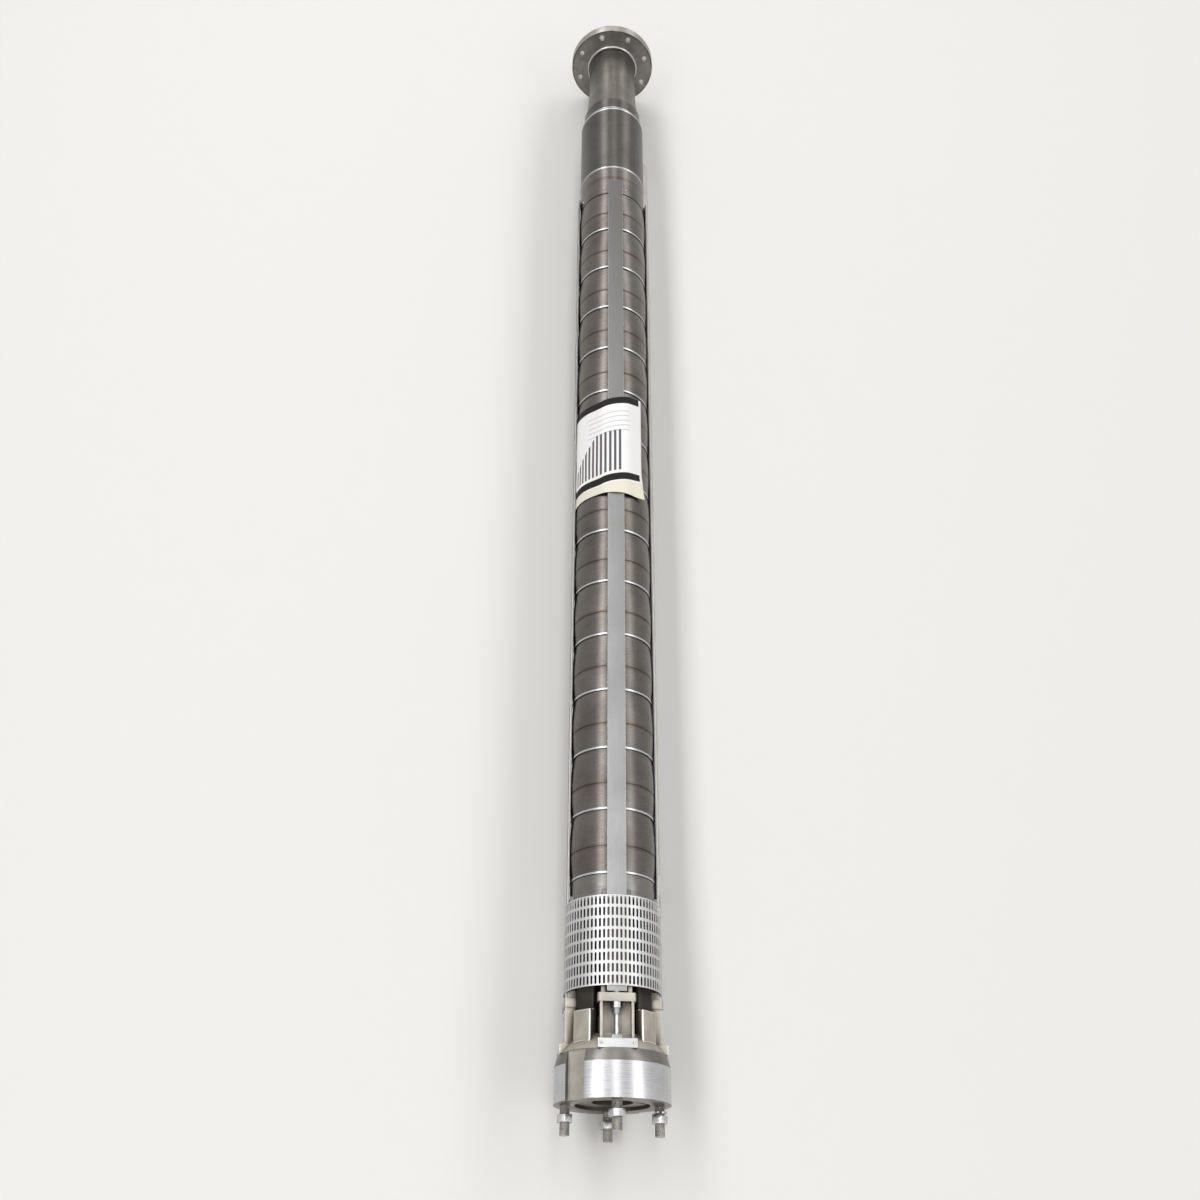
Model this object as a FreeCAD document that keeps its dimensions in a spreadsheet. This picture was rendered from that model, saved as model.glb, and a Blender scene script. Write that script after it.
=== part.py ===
import FreeCAD, Part
import math
import os

import Sketcher

# A multistage borehole submersible pump end without its motor, lying on its side.
# The pump axis is +Y: the motor end is at station 0 and the discharge flange at the far end.
# Lengths are millimetres, +Z is up, and twelve o'clock is the strap on top.

document = FreeCAD.newDocument("borehole_pump")
sheet = document.addObject("Spreadsheet::Sheet", "Sizes")
sheet_rows = []
nodes = {}


class Measure:
    """A length that carries the sheet formula it comes from beside its number."""

    def __init__(self, formula, number):
        self.formula = formula
        self.number = number

    def __add__(self, other):
        other = measure(other)
        return Measure(f"({self.formula} + {other.formula})", self.number + other.number)

    def __radd__(self, other):
        return measure(other) + self

    def __sub__(self, other):
        other = measure(other)
        return Measure(f"({self.formula} - {other.formula})", self.number - other.number)

    def __rsub__(self, other):
        return measure(other) - self

    def __mul__(self, other):
        other = measure(other)
        return Measure(f"({self.formula} * {other.formula})", self.number * other.number)

    def __rmul__(self, other):
        return measure(other) * self

    def __truediv__(self, other):
        other = measure(other)
        return Measure(f"({self.formula} / {other.formula})", self.number / other.number)

    def __neg__(self):
        return 0 - self


def measure(value):
    """A plain number becomes a measure whose formula is the number itself."""
    if isinstance(value, Measure):
        return value
    return Measure(f"{value:.6f}", float(value))


def chord_height(radius, half_width):
    """How high a circle of this radius stands at half_width to the side of its centre."""
    formula = f"sqrt({radius.formula} * {radius.formula} - {half_width.formula} * {half_width.formula})"
    return Measure(formula, math.sqrt(radius.number ** 2 - half_width.number ** 2))


def size(alias, value, meaning):
    """Write one driving size to the sheet and hand it back as a measure."""
    sheet_rows.append(alias)
    row = len(sheet_rows)
    sheet.set(f"A{row}", meaning)
    sheet.set(f"B{row}", str(value))
    sheet.setAlias(f"B{row}", alias)
    return Measure(f"Sizes.{alias}", float(value))


# Stages
stage_count = 14
stage_pitch = size("stage_pitch", 144, "height of one stage")
chamber_belly_radius = size("chamber_belly_radius", 94, "widest radius of a chamber")
chamber_rim_radius = size("chamber_rim_radius", 91.5, "radius of a chamber at its two ends")
chamber_belly_share = size("chamber_belly_share", 0.43, "height of the widest ring, as a share of the pitch")
chamber_wall = size("chamber_wall", 6, "wall of a chamber at its ends")
diaphragm_thickness = size("diaphragm_thickness", 12, "floor between two stages")
eye_bore_radius = size("eye_bore_radius", 45, "bore of a diaphragm round the impeller neck")

# Rotor
shaft_radius = size("shaft_radius", 16, "pump shaft radius")
seat_clearance = size("seat_clearance", 0.02, "radial clearance of what sits fixed on the shaft")
running_clearance = size("running_clearance", 0.05, "radial clearance of a running fit")
neck_clearance = size("neck_clearance", 0.5, "radial clearance of an impeller neck")
impeller_radius = size("impeller_radius", 74, "impeller outer radius")
impeller_neck_length = size("impeller_neck_length", 9, "how far a neck reaches into the diaphragm below")
impeller_outlet_start = size("impeller_outlet_start", 16, "lower edge of the impeller rim")
impeller_outlet_end = size("impeller_outlet_end", 54, "upper edge of the impeller rim")
coupling_radius = size("coupling_radius", 30, "coupling sleeve radius")
coupling_bottom = size("coupling_bottom", 34, "station of the coupling's open end")
coupling_top = size("coupling_top", 176, "station of the coupling's upper end")
coupling_joint = size("coupling_joint", 112, "station where the pump shaft ends inside the coupling")
coupling_bore_radius = size("coupling_bore_radius", 19.05, "bore for the motor shaft")
shaft_above_stages = size("shaft_above_stages", 62, "shaft end above the last stage")
lock_nut_width = size("lock_nut_width", 46, "width across flats of the shaft nut")
lock_nut_height = size("lock_nut_height", 18, "height of the shaft nut")

# Motor flange and suction cage
base_radius = size("base_radius", 118.5, "radius of the motor flange ring")
base_height = size("base_height", 70, "height of the turned motor flange ring")
pilot_radius = size("pilot_radius", 76.2, "pilot recess for the motor spigot")
pilot_depth = size("pilot_depth", 6.5, "depth of the pilot recess")
web_top = size("web_top", 22, "upper side of the pilot web")
web_bore_radius = size("web_bore_radius", 42, "opening in the web for the coupling")
vent_hole_radius = size("vent_hole_radius", 6, "vent hole in the web")
vent_hole_offset = size("vent_hole_offset", 59, "distance of the vent hole from the axis")
shoulder_step = size("shoulder_step", 6.5, "how far the top of the sloping shoulder lies inside the ring")
shoulder_top = size("shoulder_top", 95, "station of the top of the sloping shoulder")
sill_radius = size("sill_radius", 84, "inner radius of the sloping window sills")
sill_top = size("sill_top", 128, "station where the window sills end")
cage_bore_radius = size("cage_bore_radius", 78, "bore of the suction cage")
cage_top = size("cage_top", 455, "station of the first chamber edge")
crown_height = size("crown_height", 34, "height of the closed ring on top of the cage")
post_half_width = size("post_half_width", 22, "half width of a post between two pockets")
post_flat = size("post_flat", 97, "distance of a post's lower flat from the axis")
post_step = size("post_step", 176, "station where a post steps back under the strainer")
post_recess = size("post_recess", 4, "how far an upper post lies inside the first chamber edge")
cage_back = size("cage_back", 77, "distance of the pocket floors' back from the axis")
pocket_floor = size("pocket_floor", 79, "distance of a pocket floor from the axis")
frame_half_width = size("frame_half_width", 34, "outer half width of a pocket frame")
frame_face = size("frame_face", 100, "distance of a pocket frame's face from the axis")
frame_wall = size("frame_wall", 5, "side wall of a pocket frame")
crossbar_bottom = size("crossbar_bottom", 187, "lower side of the crossbar the strap pulls on")
crossbar_height = size("crossbar_height", 17, "height of the crossbar")
crossbar_half_width = size("crossbar_half_width", 38.5, "half width of the crossbar")
crossbar_face = size("crossbar_face", 102, "distance of the crossbar's face from the axis")
crossbar_round = size("crossbar_round", 6, "radius of the crossbar's shoulders")
upper_half_width = size("upper_half_width", 31, "half width of the frame under the strainer")
upper_face = size("upper_face", 93, "distance of the frame's face under the strainer")
slot_half_width = size("slot_half_width", 23, "half width of the slot round the strap end")
slot_floor = size("slot_floor", 81, "distance of the strap slot's floor from the axis")
slot_height = size("slot_height", 46, "height of the strap slot")
plate_pad_half_width = size("plate_pad_half_width", 39, "half width of the pads that carry a cover plate")
plate_pad_recess = size("plate_pad_recess", 10.5, "how far the cover plate pads lie inside the ring")
plate_pad_height = size("plate_pad_height", 18, "height of the cover plate pads")
plate_pad_gap = size("plate_pad_gap", 27, "half distance between two pads of a plate")
passage_half_width = size("passage_half_width", 24, "half width of the cable passage in the motor flange")
passage_depth = size("passage_depth", 10.5, "depth of the cable passage in the motor flange")
spider_hub_radius = size("spider_hub_radius", 28, "bearing hub radius")
spider_arm_half_width = size("spider_arm_half_width", 5, "half width of a bearing arm")
spider_height = size("spider_height", 20, "height of the bearing hub and its arms")
arm_root = size("arm_root", 2, "how far an arm runs into what it joins")
lower_bearing_gap = size("lower_bearing_gap", 2, "gap between the lower bearing and the first impeller")
upper_bearing_station = size("upper_bearing_station", 24, "upper bearing above the last chamber edge")
bush_radius = size("bush_radius", 22, "outer radius of the bearing bushes")
first_passage_turn = -45
guard_turn = 135

# Motor studs and cover plates
stud_circle_radius = size("stud_circle_radius", 95.25, "radius of the motor stud circle")
motor_stud_radius = size("motor_stud_radius", 10, "motor stud radius")
stud_hole_clearance = size("stud_hole_clearance", 0.5, "clearance of a stud in its hole")
motor_stud_reach = size("motor_stud_reach", 58, "motor stud length below the flange face")
stud_head_width = size("stud_head_width", 24, "width across flats of a motor stud's head")
stud_head_height = size("stud_head_height", 12, "height of a motor stud's head")
motor_nut_width = size("motor_nut_width", 30, "width across flats of a motor nut")
motor_nut_height = size("motor_nut_height", 15, "height of a motor nut")
motor_nut_drop = size("motor_nut_drop", 18, "how far the loose nuts hang below the flange face")
thread_clearance = size("thread_clearance", 0.3, "radial clearance of a nut or washer on its stud")
plate_thickness = size("plate_thickness", 2, "cover plate thickness")
plate_lip = size("plate_lip", 4, "depth of a cover plate's folded lip")
lip_clearance = size("lip_clearance", 1, "clearance of the lip between its pads")

# Straps
strap_half_width = size("strap_half_width", 20, "half width of a strap")
strap_thickness = size("strap_thickness", 4, "strap thickness")
strap_gap = size("strap_gap", 0.3, "gap between a strap and the chambers under it")
strap_block_length = size("strap_block_length", 20, "length of the block at a strap's lower end")
strap_block_gap = size("strap_block_gap", 4, "gap between the block and the crossbar")
strap_block_clearance = size("strap_block_clearance", 2, "clearance of the block over the slot floor")
strap_stud_radius = size("strap_stud_radius", 7, "strap stud radius")
strap_stud_offset = size("strap_stud_offset", 90.5, "distance of the strap studs from the axis")
strap_stud_below = size("strap_stud_below", 24, "strap stud length below the crossbar")
strap_nut_width = size("strap_nut_width", 21, "width across flats of a strap nut")
strap_nut_height = size("strap_nut_height", 13, "height of a strap nut")
strap_hook_length = size("strap_hook_length", 8, "thickness of the hook at a strap's upper end")
strap_hook_depth = size("strap_hook_depth", 4.5, "how far a strap's hook sits in the discharge chamber")
strap_hook_station = size("strap_hook_station", 36, "hook station above the last chamber edge")
hook_clearance = size("hook_clearance", 0.3, "clearance of a strap hook in its slot")
strap_end_round = size("strap_end_round", 9, "corner radius of a strap's upper end")

# Strainer
strainer_bottom = size("strainer_bottom", 219, "lower edge of the strainer")
strainer_length = size("strainer_length", 188, "strainer length")
strainer_radius = size("strainer_radius", 101.8, "strainer outer radius")
strainer_wall = size("strainer_wall", 1.2, "strainer sheet thickness")
strainer_slot_width = size("strainer_slot_width", 26, "width of a slot")
strainer_slot_height = size("strainer_slot_height", 50, "height of a slot")
strainer_rows = 3
strainer_columns = 12

# Discharge chamber, non-return valve and discharge end
discharge_chamber_height = size("discharge_chamber_height", 102, "height of the discharge chamber")
discharge_chamber_wall = size("discharge_chamber_wall", 9, "wall of the discharge chamber")
valve_casing_radius = size("valve_casing_radius", 92, "outer radius of the valve casing")
valve_casing_wall = size("valve_casing_wall", 5, "wall of the valve casing")
valve_casing_length = size("valve_casing_length", 249, "length of the full diameter casing")
casing_round = size("casing_round", 14, "radius of the casing's shoulder")
collar_radius = size("collar_radius", 84, "radius of the collar above the shoulder")
collar_length = size("collar_length", 58, "length of the collar")
collar_wall = size("collar_wall", 10, "wall of the collar")
shoulder_wall = size("shoulder_wall", 4, "thickness of the casing's inner shoulder")
neck_mouth_radius = size("neck_mouth_radius", 80, "radius of the reducer at the collar")
neck_middle_radius = size("neck_middle_radius", 73, "radius of the reducer half way along its flare")
neck_middle_station = size("neck_middle_station", 66, "place of that radius above the collar")
neck_pipe_radius = size("neck_pipe_radius", 69.85, "radius of the straight discharge pipe")
neck_pipe_station = size("neck_pipe_station", 152, "where the flare ends above the collar")
neck_wall = size("neck_wall", 5, "wall of the discharge pipe and its reducer")
neck_length = size("neck_length", 273, "length of the reducer and pipe")
weld_bead = size("weld_bead", 6, "leg of the weld bead at the flange")
flange_radius = size("flange_radius", 125, "discharge flange radius")
flange_thickness = size("flange_thickness", 24, "discharge flange thickness")
flange_bolt_circle = size("flange_bolt_circle", 105, "radius of the discharge bolt circle")
flange_hole_radius = size("flange_hole_radius", 9, "discharge bolt hole radius")
flange_hole_count = 8
valve_seat_radius = size("valve_seat_radius", 52, "opening of the valve seat")
valve_seat_height = size("valve_seat_height", 14, "height of the valve seat")
valve_disc_radius = size("valve_disc_radius", 62, "valve disc radius")
valve_disc_thickness = size("valve_disc_thickness", 10, "valve disc thickness")
valve_lift = size("valve_lift", 30, "travel of the valve disc")
valve_stem_radius = size("valve_stem_radius", 8, "valve stem radius")
valve_stem_length = size("valve_stem_length", 112, "valve stem length above the disc")
guide_hub_radius = size("guide_hub_radius", 15, "radius of the stem guide")
guide_height = size("guide_height", 26, "height of the stem guide")
spring_packed_length = size("spring_packed_length", 48, "length of the spring with the valve open")
guide_arm_half_width = size("guide_arm_half_width", 3, "half width of a guide arm")
guide_fit = size("guide_fit", 0.1, "clearance of the guide arms in the casing")
spring_radius = size("spring_radius", 13.5, "outer radius of the valve spring")
spring_wall = size("spring_wall", 3, "thickness of the valve spring")

# Cable guards
guard_half_width = size("guard_half_width", 38, "half width of a cable guard channel")
guard_face = size("guard_face", 123, "distance of a guard's face from the axis")
guard_sheet = size("guard_sheet", 2, "sheet thickness of a guard")
guard_gap = size("guard_gap", 0.3, "gap between a guard's edges and what they lie on")
guard_foot_drop = size("guard_foot_drop", 16, "lower guard's lower end below the post step")
guard_foot_rise = size("guard_foot_rise", 5, "lower guard's upper end above the first chamber edge")
guard_end_margin = size("guard_end_margin", 56, "upper guard's upper end below the casing's shoulder")
tongue_gap = size("tongue_gap", 2, "gap between the tongues of the two guards")
tongue_half_width = size("tongue_half_width", 12, "half width of a guard's end tongue")
tongue_length = size("tongue_length", 22, "length of a guard's end tongue")

shoulder_radius = base_radius - shoulder_step
passage_floor = base_radius - passage_depth
plate_pad_face = base_radius - plate_pad_recess
crown_bottom = cage_top - crown_height
crossbar_top = crossbar_bottom + crossbar_height
stage_top = cage_top + stage_count * stage_pitch
casing_bottom = stage_top + discharge_chamber_height
collar_bottom = casing_bottom + valve_casing_length
neck_bottom = collar_bottom + collar_length
flange_top = neck_bottom + neck_length
strap_inner = chamber_belly_radius + strap_gap
strap_face = strap_inner + strap_thickness
disc_bottom = casing_bottom + valve_seat_height
guide_station = valve_lift + spring_packed_length
lower_bearing_bottom = cage_top - impeller_neck_length - lower_bearing_gap - spider_height
upper_bearing_bottom = stage_top + upper_bearing_station
lower_guard_bottom = post_step - guard_foot_drop
lower_guard_top = cage_top + guard_foot_rise
upper_guard_bottom = lower_guard_top + 2 * tongue_length + tongue_gap
upper_guard_top = collar_bottom - guard_end_margin

document.recompute()

QUARTER_TURNS = (0, 90, 180, 270)

# How far a cutting piece reaches past what it cuts, and a joined piece into what it joins.
OVERRUN = 1


def keep(label, piece):
    """Name a finished sub-part and add it to what is written out."""
    piece.Label = label
    nodes[label] = piece
    return piece


def bind(piece, **formulas):
    """Tie the named properties of a piece to their sheet formulas."""
    for name, value in formulas.items():
        value = measure(value)
        setattr(piece, name, value.number)
        piece.setExpression(name, value.formula)


def place(piece, sideways, station, outward, turn=0, tilt=None):
    """Put a piece at a point given for twelve o'clock, turned about the pump axis by turn degrees."""
    sine = math.sin(math.radians(turn))
    cosine = math.cos(math.radians(turn))
    sideways = measure(sideways)
    outward = measure(outward)
    across = sideways * cosine + outward * sine
    upward = outward * cosine - sideways * sine
    rotation = FreeCAD.Rotation(FreeCAD.Vector(0, 1, 0), turn)
    if tilt:
        rotation = rotation.multiply(tilt)
    base = FreeCAD.Vector(across.number, measure(station).number, upward.number)
    piece.Placement = FreeCAD.Placement(base, rotation)
    piece.setExpression("Placement.Base.x", across.formula)
    piece.setExpression("Placement.Base.y", measure(station).formula)
    piece.setExpression("Placement.Base.z", upward.formula)
    return piece


# Part primitives grow along +Z, so this tilt lays their length along the pump axis.
ALONG_AXIS = FreeCAD.Rotation(FreeCAD.Vector(1, 0, 0), -90)


def block(half_width, bottom, top, inner, outer, turn=0, middle=0):
    """A box given by its half width, its two stations and its two distances from the axis."""
    piece = document.addObject("Part::Box", "block")
    bind(piece, Length=2 * measure(half_width), Width=measure(top) - bottom, Height=measure(outer) - inner)
    return place(piece, measure(middle) - half_width, bottom, inner, turn)


def rod(radius, bottom, top, outward=0, turn=0, sideways=0):
    """A round bar parallel to the pump axis."""
    piece = document.addObject("Part::Cylinder", "rod")
    bind(piece, Radius=radius, Height=measure(top) - bottom)
    return place(piece, sideways, bottom, outward, turn, ALONG_AXIS)


def hexagon(width, bottom, top, outward=0, turn=0):
    """A hexagon bar parallel to the pump axis, one flat facing outward; width is across flats."""
    piece = document.addObject("Part::Prism", "hexagon")
    piece.Polygon = 6
    bind(piece, Circumradius=measure(width) / math.sqrt(3), Height=measure(top) - bottom)
    return place(piece, 0, bottom, outward, turn, ALONG_AXIS)


def fused(pieces):
    """One solid from overlapping or touching pieces."""
    piece = document.addObject("Part::MultiFuse", "fused")
    piece.Shapes = pieces
    piece.Refine = True
    return piece


def cut(base, tools):
    """The base with the tools taken away."""
    tool = tools[0] if len(tools) == 1 else fused(tools)
    piece = document.addObject("Part::Cut", "cut")
    piece.Base = base
    piece.Tool = tool
    piece.Refine = True
    return piece


def grouped(label, pieces):
    """Identical pieces kept as separate solids under one label."""
    piece = document.addObject("Part::Compound", "group")
    piece.Links = pieces
    return keep(label, piece)


def turned(name, outline):
    """A body turned about the pump axis.

    The outline is a list of corners given as radius and station. A corner with a third item, a bulge
    point, is joined to the corner before it by the arc through that point.
    """
    body = document.addObject("PartDesign::Body", name)
    sketch = body.newObject("Sketcher::SketchObject", name + "_outline")
    plane = [feature for feature in body.Origin.OriginFeatures if feature.Role == "XY_Plane"][0]
    sketch.AttachmentSupport = (plane, [""])
    sketch.MapMode = "FlatFace"
    corners = [(measure(corner[0]), measure(corner[1])) for corner in outline]
    bulges = [corner[2] if len(corner) > 2 else None for corner in outline]
    points = [sketch_point(corner) for corner in corners]
    count = len(points)
    for index in range(count):
        following = (index + 1) % count
        edge = Part.LineSegment(points[index], points[following])
        if bulges[following]:
            edge = Part.Arc(points[index], sketch_point(bulges[following]), points[following])
        sketch.addGeometry(edge, False)
    ends = arc_ends(sketch, points)
    for index in range(count):
        following = (index + 1) % count
        joint = ("Coincident", index, ends[index][1], following, ends[following][0])
        sketch.addConstraint(Sketcher.Constraint(*joint))
    for index, (radius, station) in enumerate(corners):
        tie_point(sketch, index, ends[index][0], radius, station)
    for index in range(count):
        bulge = bulges[(index + 1) % count]
        if bulge:
            marker = sketch.addGeometry(Part.Point(sketch_point(bulge)), True)
            tie_point(sketch, marker, 1, *bulge)
            sketch.addConstraint(Sketcher.Constraint("PointOnObject", marker, 1, index))
    revolution = body.newObject("PartDesign::Revolution", name + "_turned")
    revolution.Profile = sketch
    revolution.ReferenceAxis = (sketch, ["V_Axis"])
    revolution.Angle = 360
    body.Tip = revolution
    return body


def sketch_point(corner):
    """The sketch position of a corner given as radius and station."""
    return FreeCAD.Vector(measure(corner[0]).number, measure(corner[1]).number, 0)


def arc_ends(sketch, points):
    """Which end of each edge is its start, since an arc may run the other way round."""
    ends = []
    for index, point in enumerate(points):
        starts_here = sketch.getPoint(index, 1).distanceToPoint(point) < 1e-6
        ends.append((1, 2) if starts_here else (2, 1))
    return ends


def tie_point(sketch, geometry, end, radius, station):
    """Fix one point of a sketch to the sheet formulas of its radius and station."""
    for kind, axis, value in (("DistanceX", -2, measure(radius)), ("DistanceY", -1, measure(station))):
        if abs(value.number) < 1e-9:
            sketch.addConstraint(Sketcher.Constraint("PointOnObject", geometry, end, axis))
            continue
        number = sketch.addConstraint(Sketcher.Constraint(kind, -1, 1, geometry, end, value.number))
        sketch.setExpression(f"Constraints[{number}]", value.formula)


def suction_casting():
    """One casting kept as four plain pieces that meet face to face: ring, pockets, posts and crown."""
    ring = turned("flange_ring", [
        (web_bore_radius, pilot_depth),
        (pilot_radius, pilot_depth),
        (pilot_radius, 0),
        (base_radius, 0),
        (base_radius, base_height),
        (shoulder_radius, shoulder_top),
        (sill_radius, sill_top),
        (cage_bore_radius, sill_top),
        (cage_bore_radius, web_top),
        (web_bore_radius, web_top),
    ])
    motor_flange(ring)
    grouped("strap_pockets", [strap_pocket(ring, turn) for turn in QUARTER_TURNS])
    grouped("cage_posts", [cage_post(ring, turn + 45) for turn in QUARTER_TURNS])
    cage_crown()


def pocket_space(turn):
    """The hollow of a strap pocket, open outward."""
    inner_half_width = frame_half_width - frame_wall
    return block(inner_half_width, shoulder_top, crossbar_bottom, pocket_floor, base_radius, turn)


def plate_space(turn):
    """The gap between the two pads of a cover plate."""
    pad_top = shoulder_top + plate_pad_height
    return block(plate_pad_gap, shoulder_top, pad_top, pocket_floor, base_radius, turn)


def motor_flange(ring):
    """Motor flange ring with its web and sloping sills, cut by the pockets and the cable passages."""
    outside = base_radius + OVERRUN
    spaces = [plate_space(turn) for turn in QUARTER_TURNS]
    drills = [rod(vent_hole_radius, pilot_depth - OVERRUN, web_top + OVERRUN, vent_hole_offset, 90)]
    for turn in (first_passage_turn, guard_turn):
        spaces.append(block(passage_half_width, -OVERRUN, shoulder_top, passage_floor, outside, turn))
    for turn in QUARTER_TURNS:
        hole = motor_stud_radius + stud_hole_clearance
        drills.append(rod(hole, -OVERRUN, shoulder_top + OVERRUN, stud_circle_radius, turn))
    casting = cut(ring, [pocket_space(turn) for turn in QUARTER_TURNS])
    casting = cut(casting, spaces)
    keep("motor_flange", cut(casting, drills))


def strap_pocket(ring, turn):
    """Open pocket with the crossbar that a strap nut pulls on and the pads of a cover plate."""
    pad_top = shoulder_top + plate_pad_height
    slot_top = crossbar_top + slot_height
    body = fused([
        block(frame_half_width, shoulder_top, sill_top, pocket_floor, frame_face, turn),
        block(frame_half_width, sill_top, crossbar_bottom, cage_back, frame_face, turn),
        block(plate_pad_half_width, shoulder_top, pad_top, pocket_floor, plate_pad_face, turn),
        crossbar(turn),
        block(upper_half_width, crossbar_top, crown_bottom, cage_back, upper_face, turn),
    ])
    hole = strap_stud_radius + stud_hole_clearance
    body = cut(body, [pocket_space(turn)])
    body = cut(body, [
        plate_space(turn),
        block(slot_half_width, crossbar_top, slot_top, slot_floor, base_radius, turn),
    ])
    drill = rod(hole, crossbar_bottom - OVERRUN, crossbar_top + OVERRUN, strap_stud_offset, turn)
    return cut(cut(body, [drill]), [ring])


def cage_post(ring, turn):
    """Post between two pockets, which steps back under the strainer."""
    upper_face_distance = chamber_rim_radius - post_recess
    body = fused([
        block(post_half_width, shoulder_top, sill_top, pocket_floor, post_flat, turn),
        block(post_half_width, sill_top, post_step, cage_back, post_flat, turn),
        block(post_half_width, post_step, crown_bottom, cage_back, upper_face_distance, turn),
    ])
    return cut(body, [ring])


def cage_crown():
    """Closed ring on top of the cage, with the arms and hub of the lower bearing."""
    crown = turned("crown_ring", [
        (cage_bore_radius, crown_bottom),
        (chamber_rim_radius, crown_bottom),
        (chamber_rim_radius, cage_top),
        (cage_bore_radius, cage_top),
    ])
    bottom = lower_bearing_bottom
    top = bottom + spider_height
    arm_inner = spider_hub_radius - arm_root
    arm_outer = cage_bore_radius + arm_root
    solids = [crown, rod(spider_hub_radius, bottom, top)]
    for turn in QUARTER_TURNS:
        solids.append(block(spider_arm_half_width, bottom, top, arm_inner, arm_outer, turn))
    drill = rod(bush_radius, bottom - OVERRUN, top + OVERRUN)
    keep("cage_crown", cut(fused(solids), [drill]))


def crossbar(turn):
    """Bar across a pocket with rounded outer shoulders, which the strap nut pulls on."""
    bar = block(crossbar_half_width, crossbar_bottom, crossbar_top, cage_back, crossbar_face)
    document.recompute()
    names = []
    for index, edge in enumerate(bar.Shape.Edges, start=1):
        middle = edge.BoundBox.Center
        lengthwise = edge.BoundBox.YLength > crossbar_height.number / 2
        if lengthwise and middle.z > crossbar_face.number - 1:
            names.append(index)
    rounded = document.addObject("Part::Fillet", "rounded_bar")
    rounded.Base = bar
    rounded.Edges = [(name, crossbar_round.number, crossbar_round.number) for name in names]
    turned_bar = document.addObject("Part::Compound", "crossbar")
    turned_bar.Links = [rounded]
    turned_bar.Placement = FreeCAD.Placement(
        FreeCAD.Vector(0, 0, 0), FreeCAD.Rotation(FreeCAD.Vector(0, 1, 0), turn))
    return turned_bar


def strainer():
    """Perforated sleeve round the suction cage."""
    top = strainer_bottom + strainer_length
    inner_radius = strainer_radius - strainer_wall
    sleeve = cut(rod(strainer_radius, strainer_bottom, top), [rod(inner_radius, strainer_bottom, top)])
    row_pitch = strainer_length / strainer_rows
    slots = []
    slot_inner = chord_height(inner_radius, strainer_slot_width / 2) - OVERRUN
    for row in range(strainer_rows):
        middle = strainer_bottom + row_pitch * (row + 0.5)
        for column in range(strainer_columns):
            turn = 360 / strainer_columns * (column + 0.5)
            low = middle - strainer_slot_height / 2
            high = middle + strainer_slot_height / 2
            reach = strainer_radius + OVERRUN
            slots.append(block(strainer_slot_width / 2, low, high, slot_inner, reach, turn))
    keep("strainer", cut(sleeve, slots))


def strap(label, turn):
    """Tension strap with its hook at the discharge end and its block and stud at the motor end."""
    block_bottom = crossbar_top + strap_block_gap
    block_top = block_bottom + strap_block_length
    hook_bottom = stage_top + strap_hook_station
    hook_top = hook_bottom + strap_hook_length
    hook_floor = chamber_rim_radius - strap_hook_depth
    bar = block(strap_half_width, block_bottom, hook_top, strap_inner, strap_face, turn)
    block_floor = slot_floor + strap_block_clearance
    end_block = block(strap_half_width, block_bottom, block_top, block_floor, strap_face, turn)
    hook_half_width = strap_half_width - strap_end_round
    hook = block(hook_half_width, hook_bottom, hook_top, hook_floor, strap_face, turn)
    stud_bottom = crossbar_bottom - strap_stud_below
    stud = rod(strap_stud_radius, stud_bottom, block_bottom + OVERRUN, strap_stud_offset, turn)
    keep(label, fused([bar, end_block, hook, stud]))


def strap_nuts():
    """One hexagon nut under each crossbar."""
    nuts = []
    for turn in QUARTER_TURNS:
        bottom = crossbar_bottom - strap_nut_height
        body = hexagon(strap_nut_width, bottom, crossbar_bottom, strap_stud_offset, turn)
        bore = rod(strap_stud_radius + thread_clearance, bottom, crossbar_bottom, strap_stud_offset, turn)
        nuts.append(cut(body, [bore]))
    grouped("strap_nuts", nuts)


def cover_plates():
    """Folded-lip plates over the motor stud heads."""
    top = shoulder_top + plate_pad_height
    plates = []
    for turn in QUARTER_TURNS:
        face = plate_pad_face + plate_thickness
        sheet_part = block(plate_pad_half_width, shoulder_top, top, plate_pad_face, face, turn)
        lip_half_width = plate_pad_gap - lip_clearance
        lip = block(lip_half_width, top - plate_thickness, top, face - plate_lip, face, turn)
        plates.append(fused([sheet_part, lip]))
    grouped("stud_cover_plates", plates)


def motor_fasteners():
    """Studs and loose nuts for the motor."""
    studs = []
    nuts = []
    for turn in QUARTER_TURNS:
        shank = rod(motor_stud_radius, -motor_stud_reach, shoulder_top, stud_circle_radius, turn)
        head_top = shoulder_top + stud_head_height
        head = hexagon(stud_head_width, shoulder_top, head_top, stud_circle_radius, turn)
        studs.append(fused([shank, head]))
        top = -motor_nut_drop
        bottom = top - motor_nut_height
        body = hexagon(motor_nut_width, bottom, top, stud_circle_radius, turn)
        bore = rod(motor_stud_radius + thread_clearance, bottom, top, stud_circle_radius, turn)
        nuts.append(cut(body, [bore]))
    grouped("motor_studs", studs)
    grouped("motor_nuts", nuts)


def chambers():
    """Intermediate chambers, each a bowl that widens to a ring below its middle."""
    bowls = []
    for stage in range(stage_count):
        bottom = cage_top + stage_pitch * stage
        top = bottom + stage_pitch
        floor = top - diaphragm_thickness
        belly = bottom + stage_pitch * chamber_belly_share
        inner_radius = chamber_rim_radius - chamber_wall
        bowls.append(turned(f"chamber_{stage + 1}", [
            (inner_radius, bottom),
            (chamber_rim_radius, bottom),
            (chamber_rim_radius, top, (chamber_belly_radius, belly)),
            (eye_bore_radius, top),
            (eye_bore_radius, floor),
            (inner_radius, floor),
        ]))
    grouped("pump_chambers", bowls)


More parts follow.
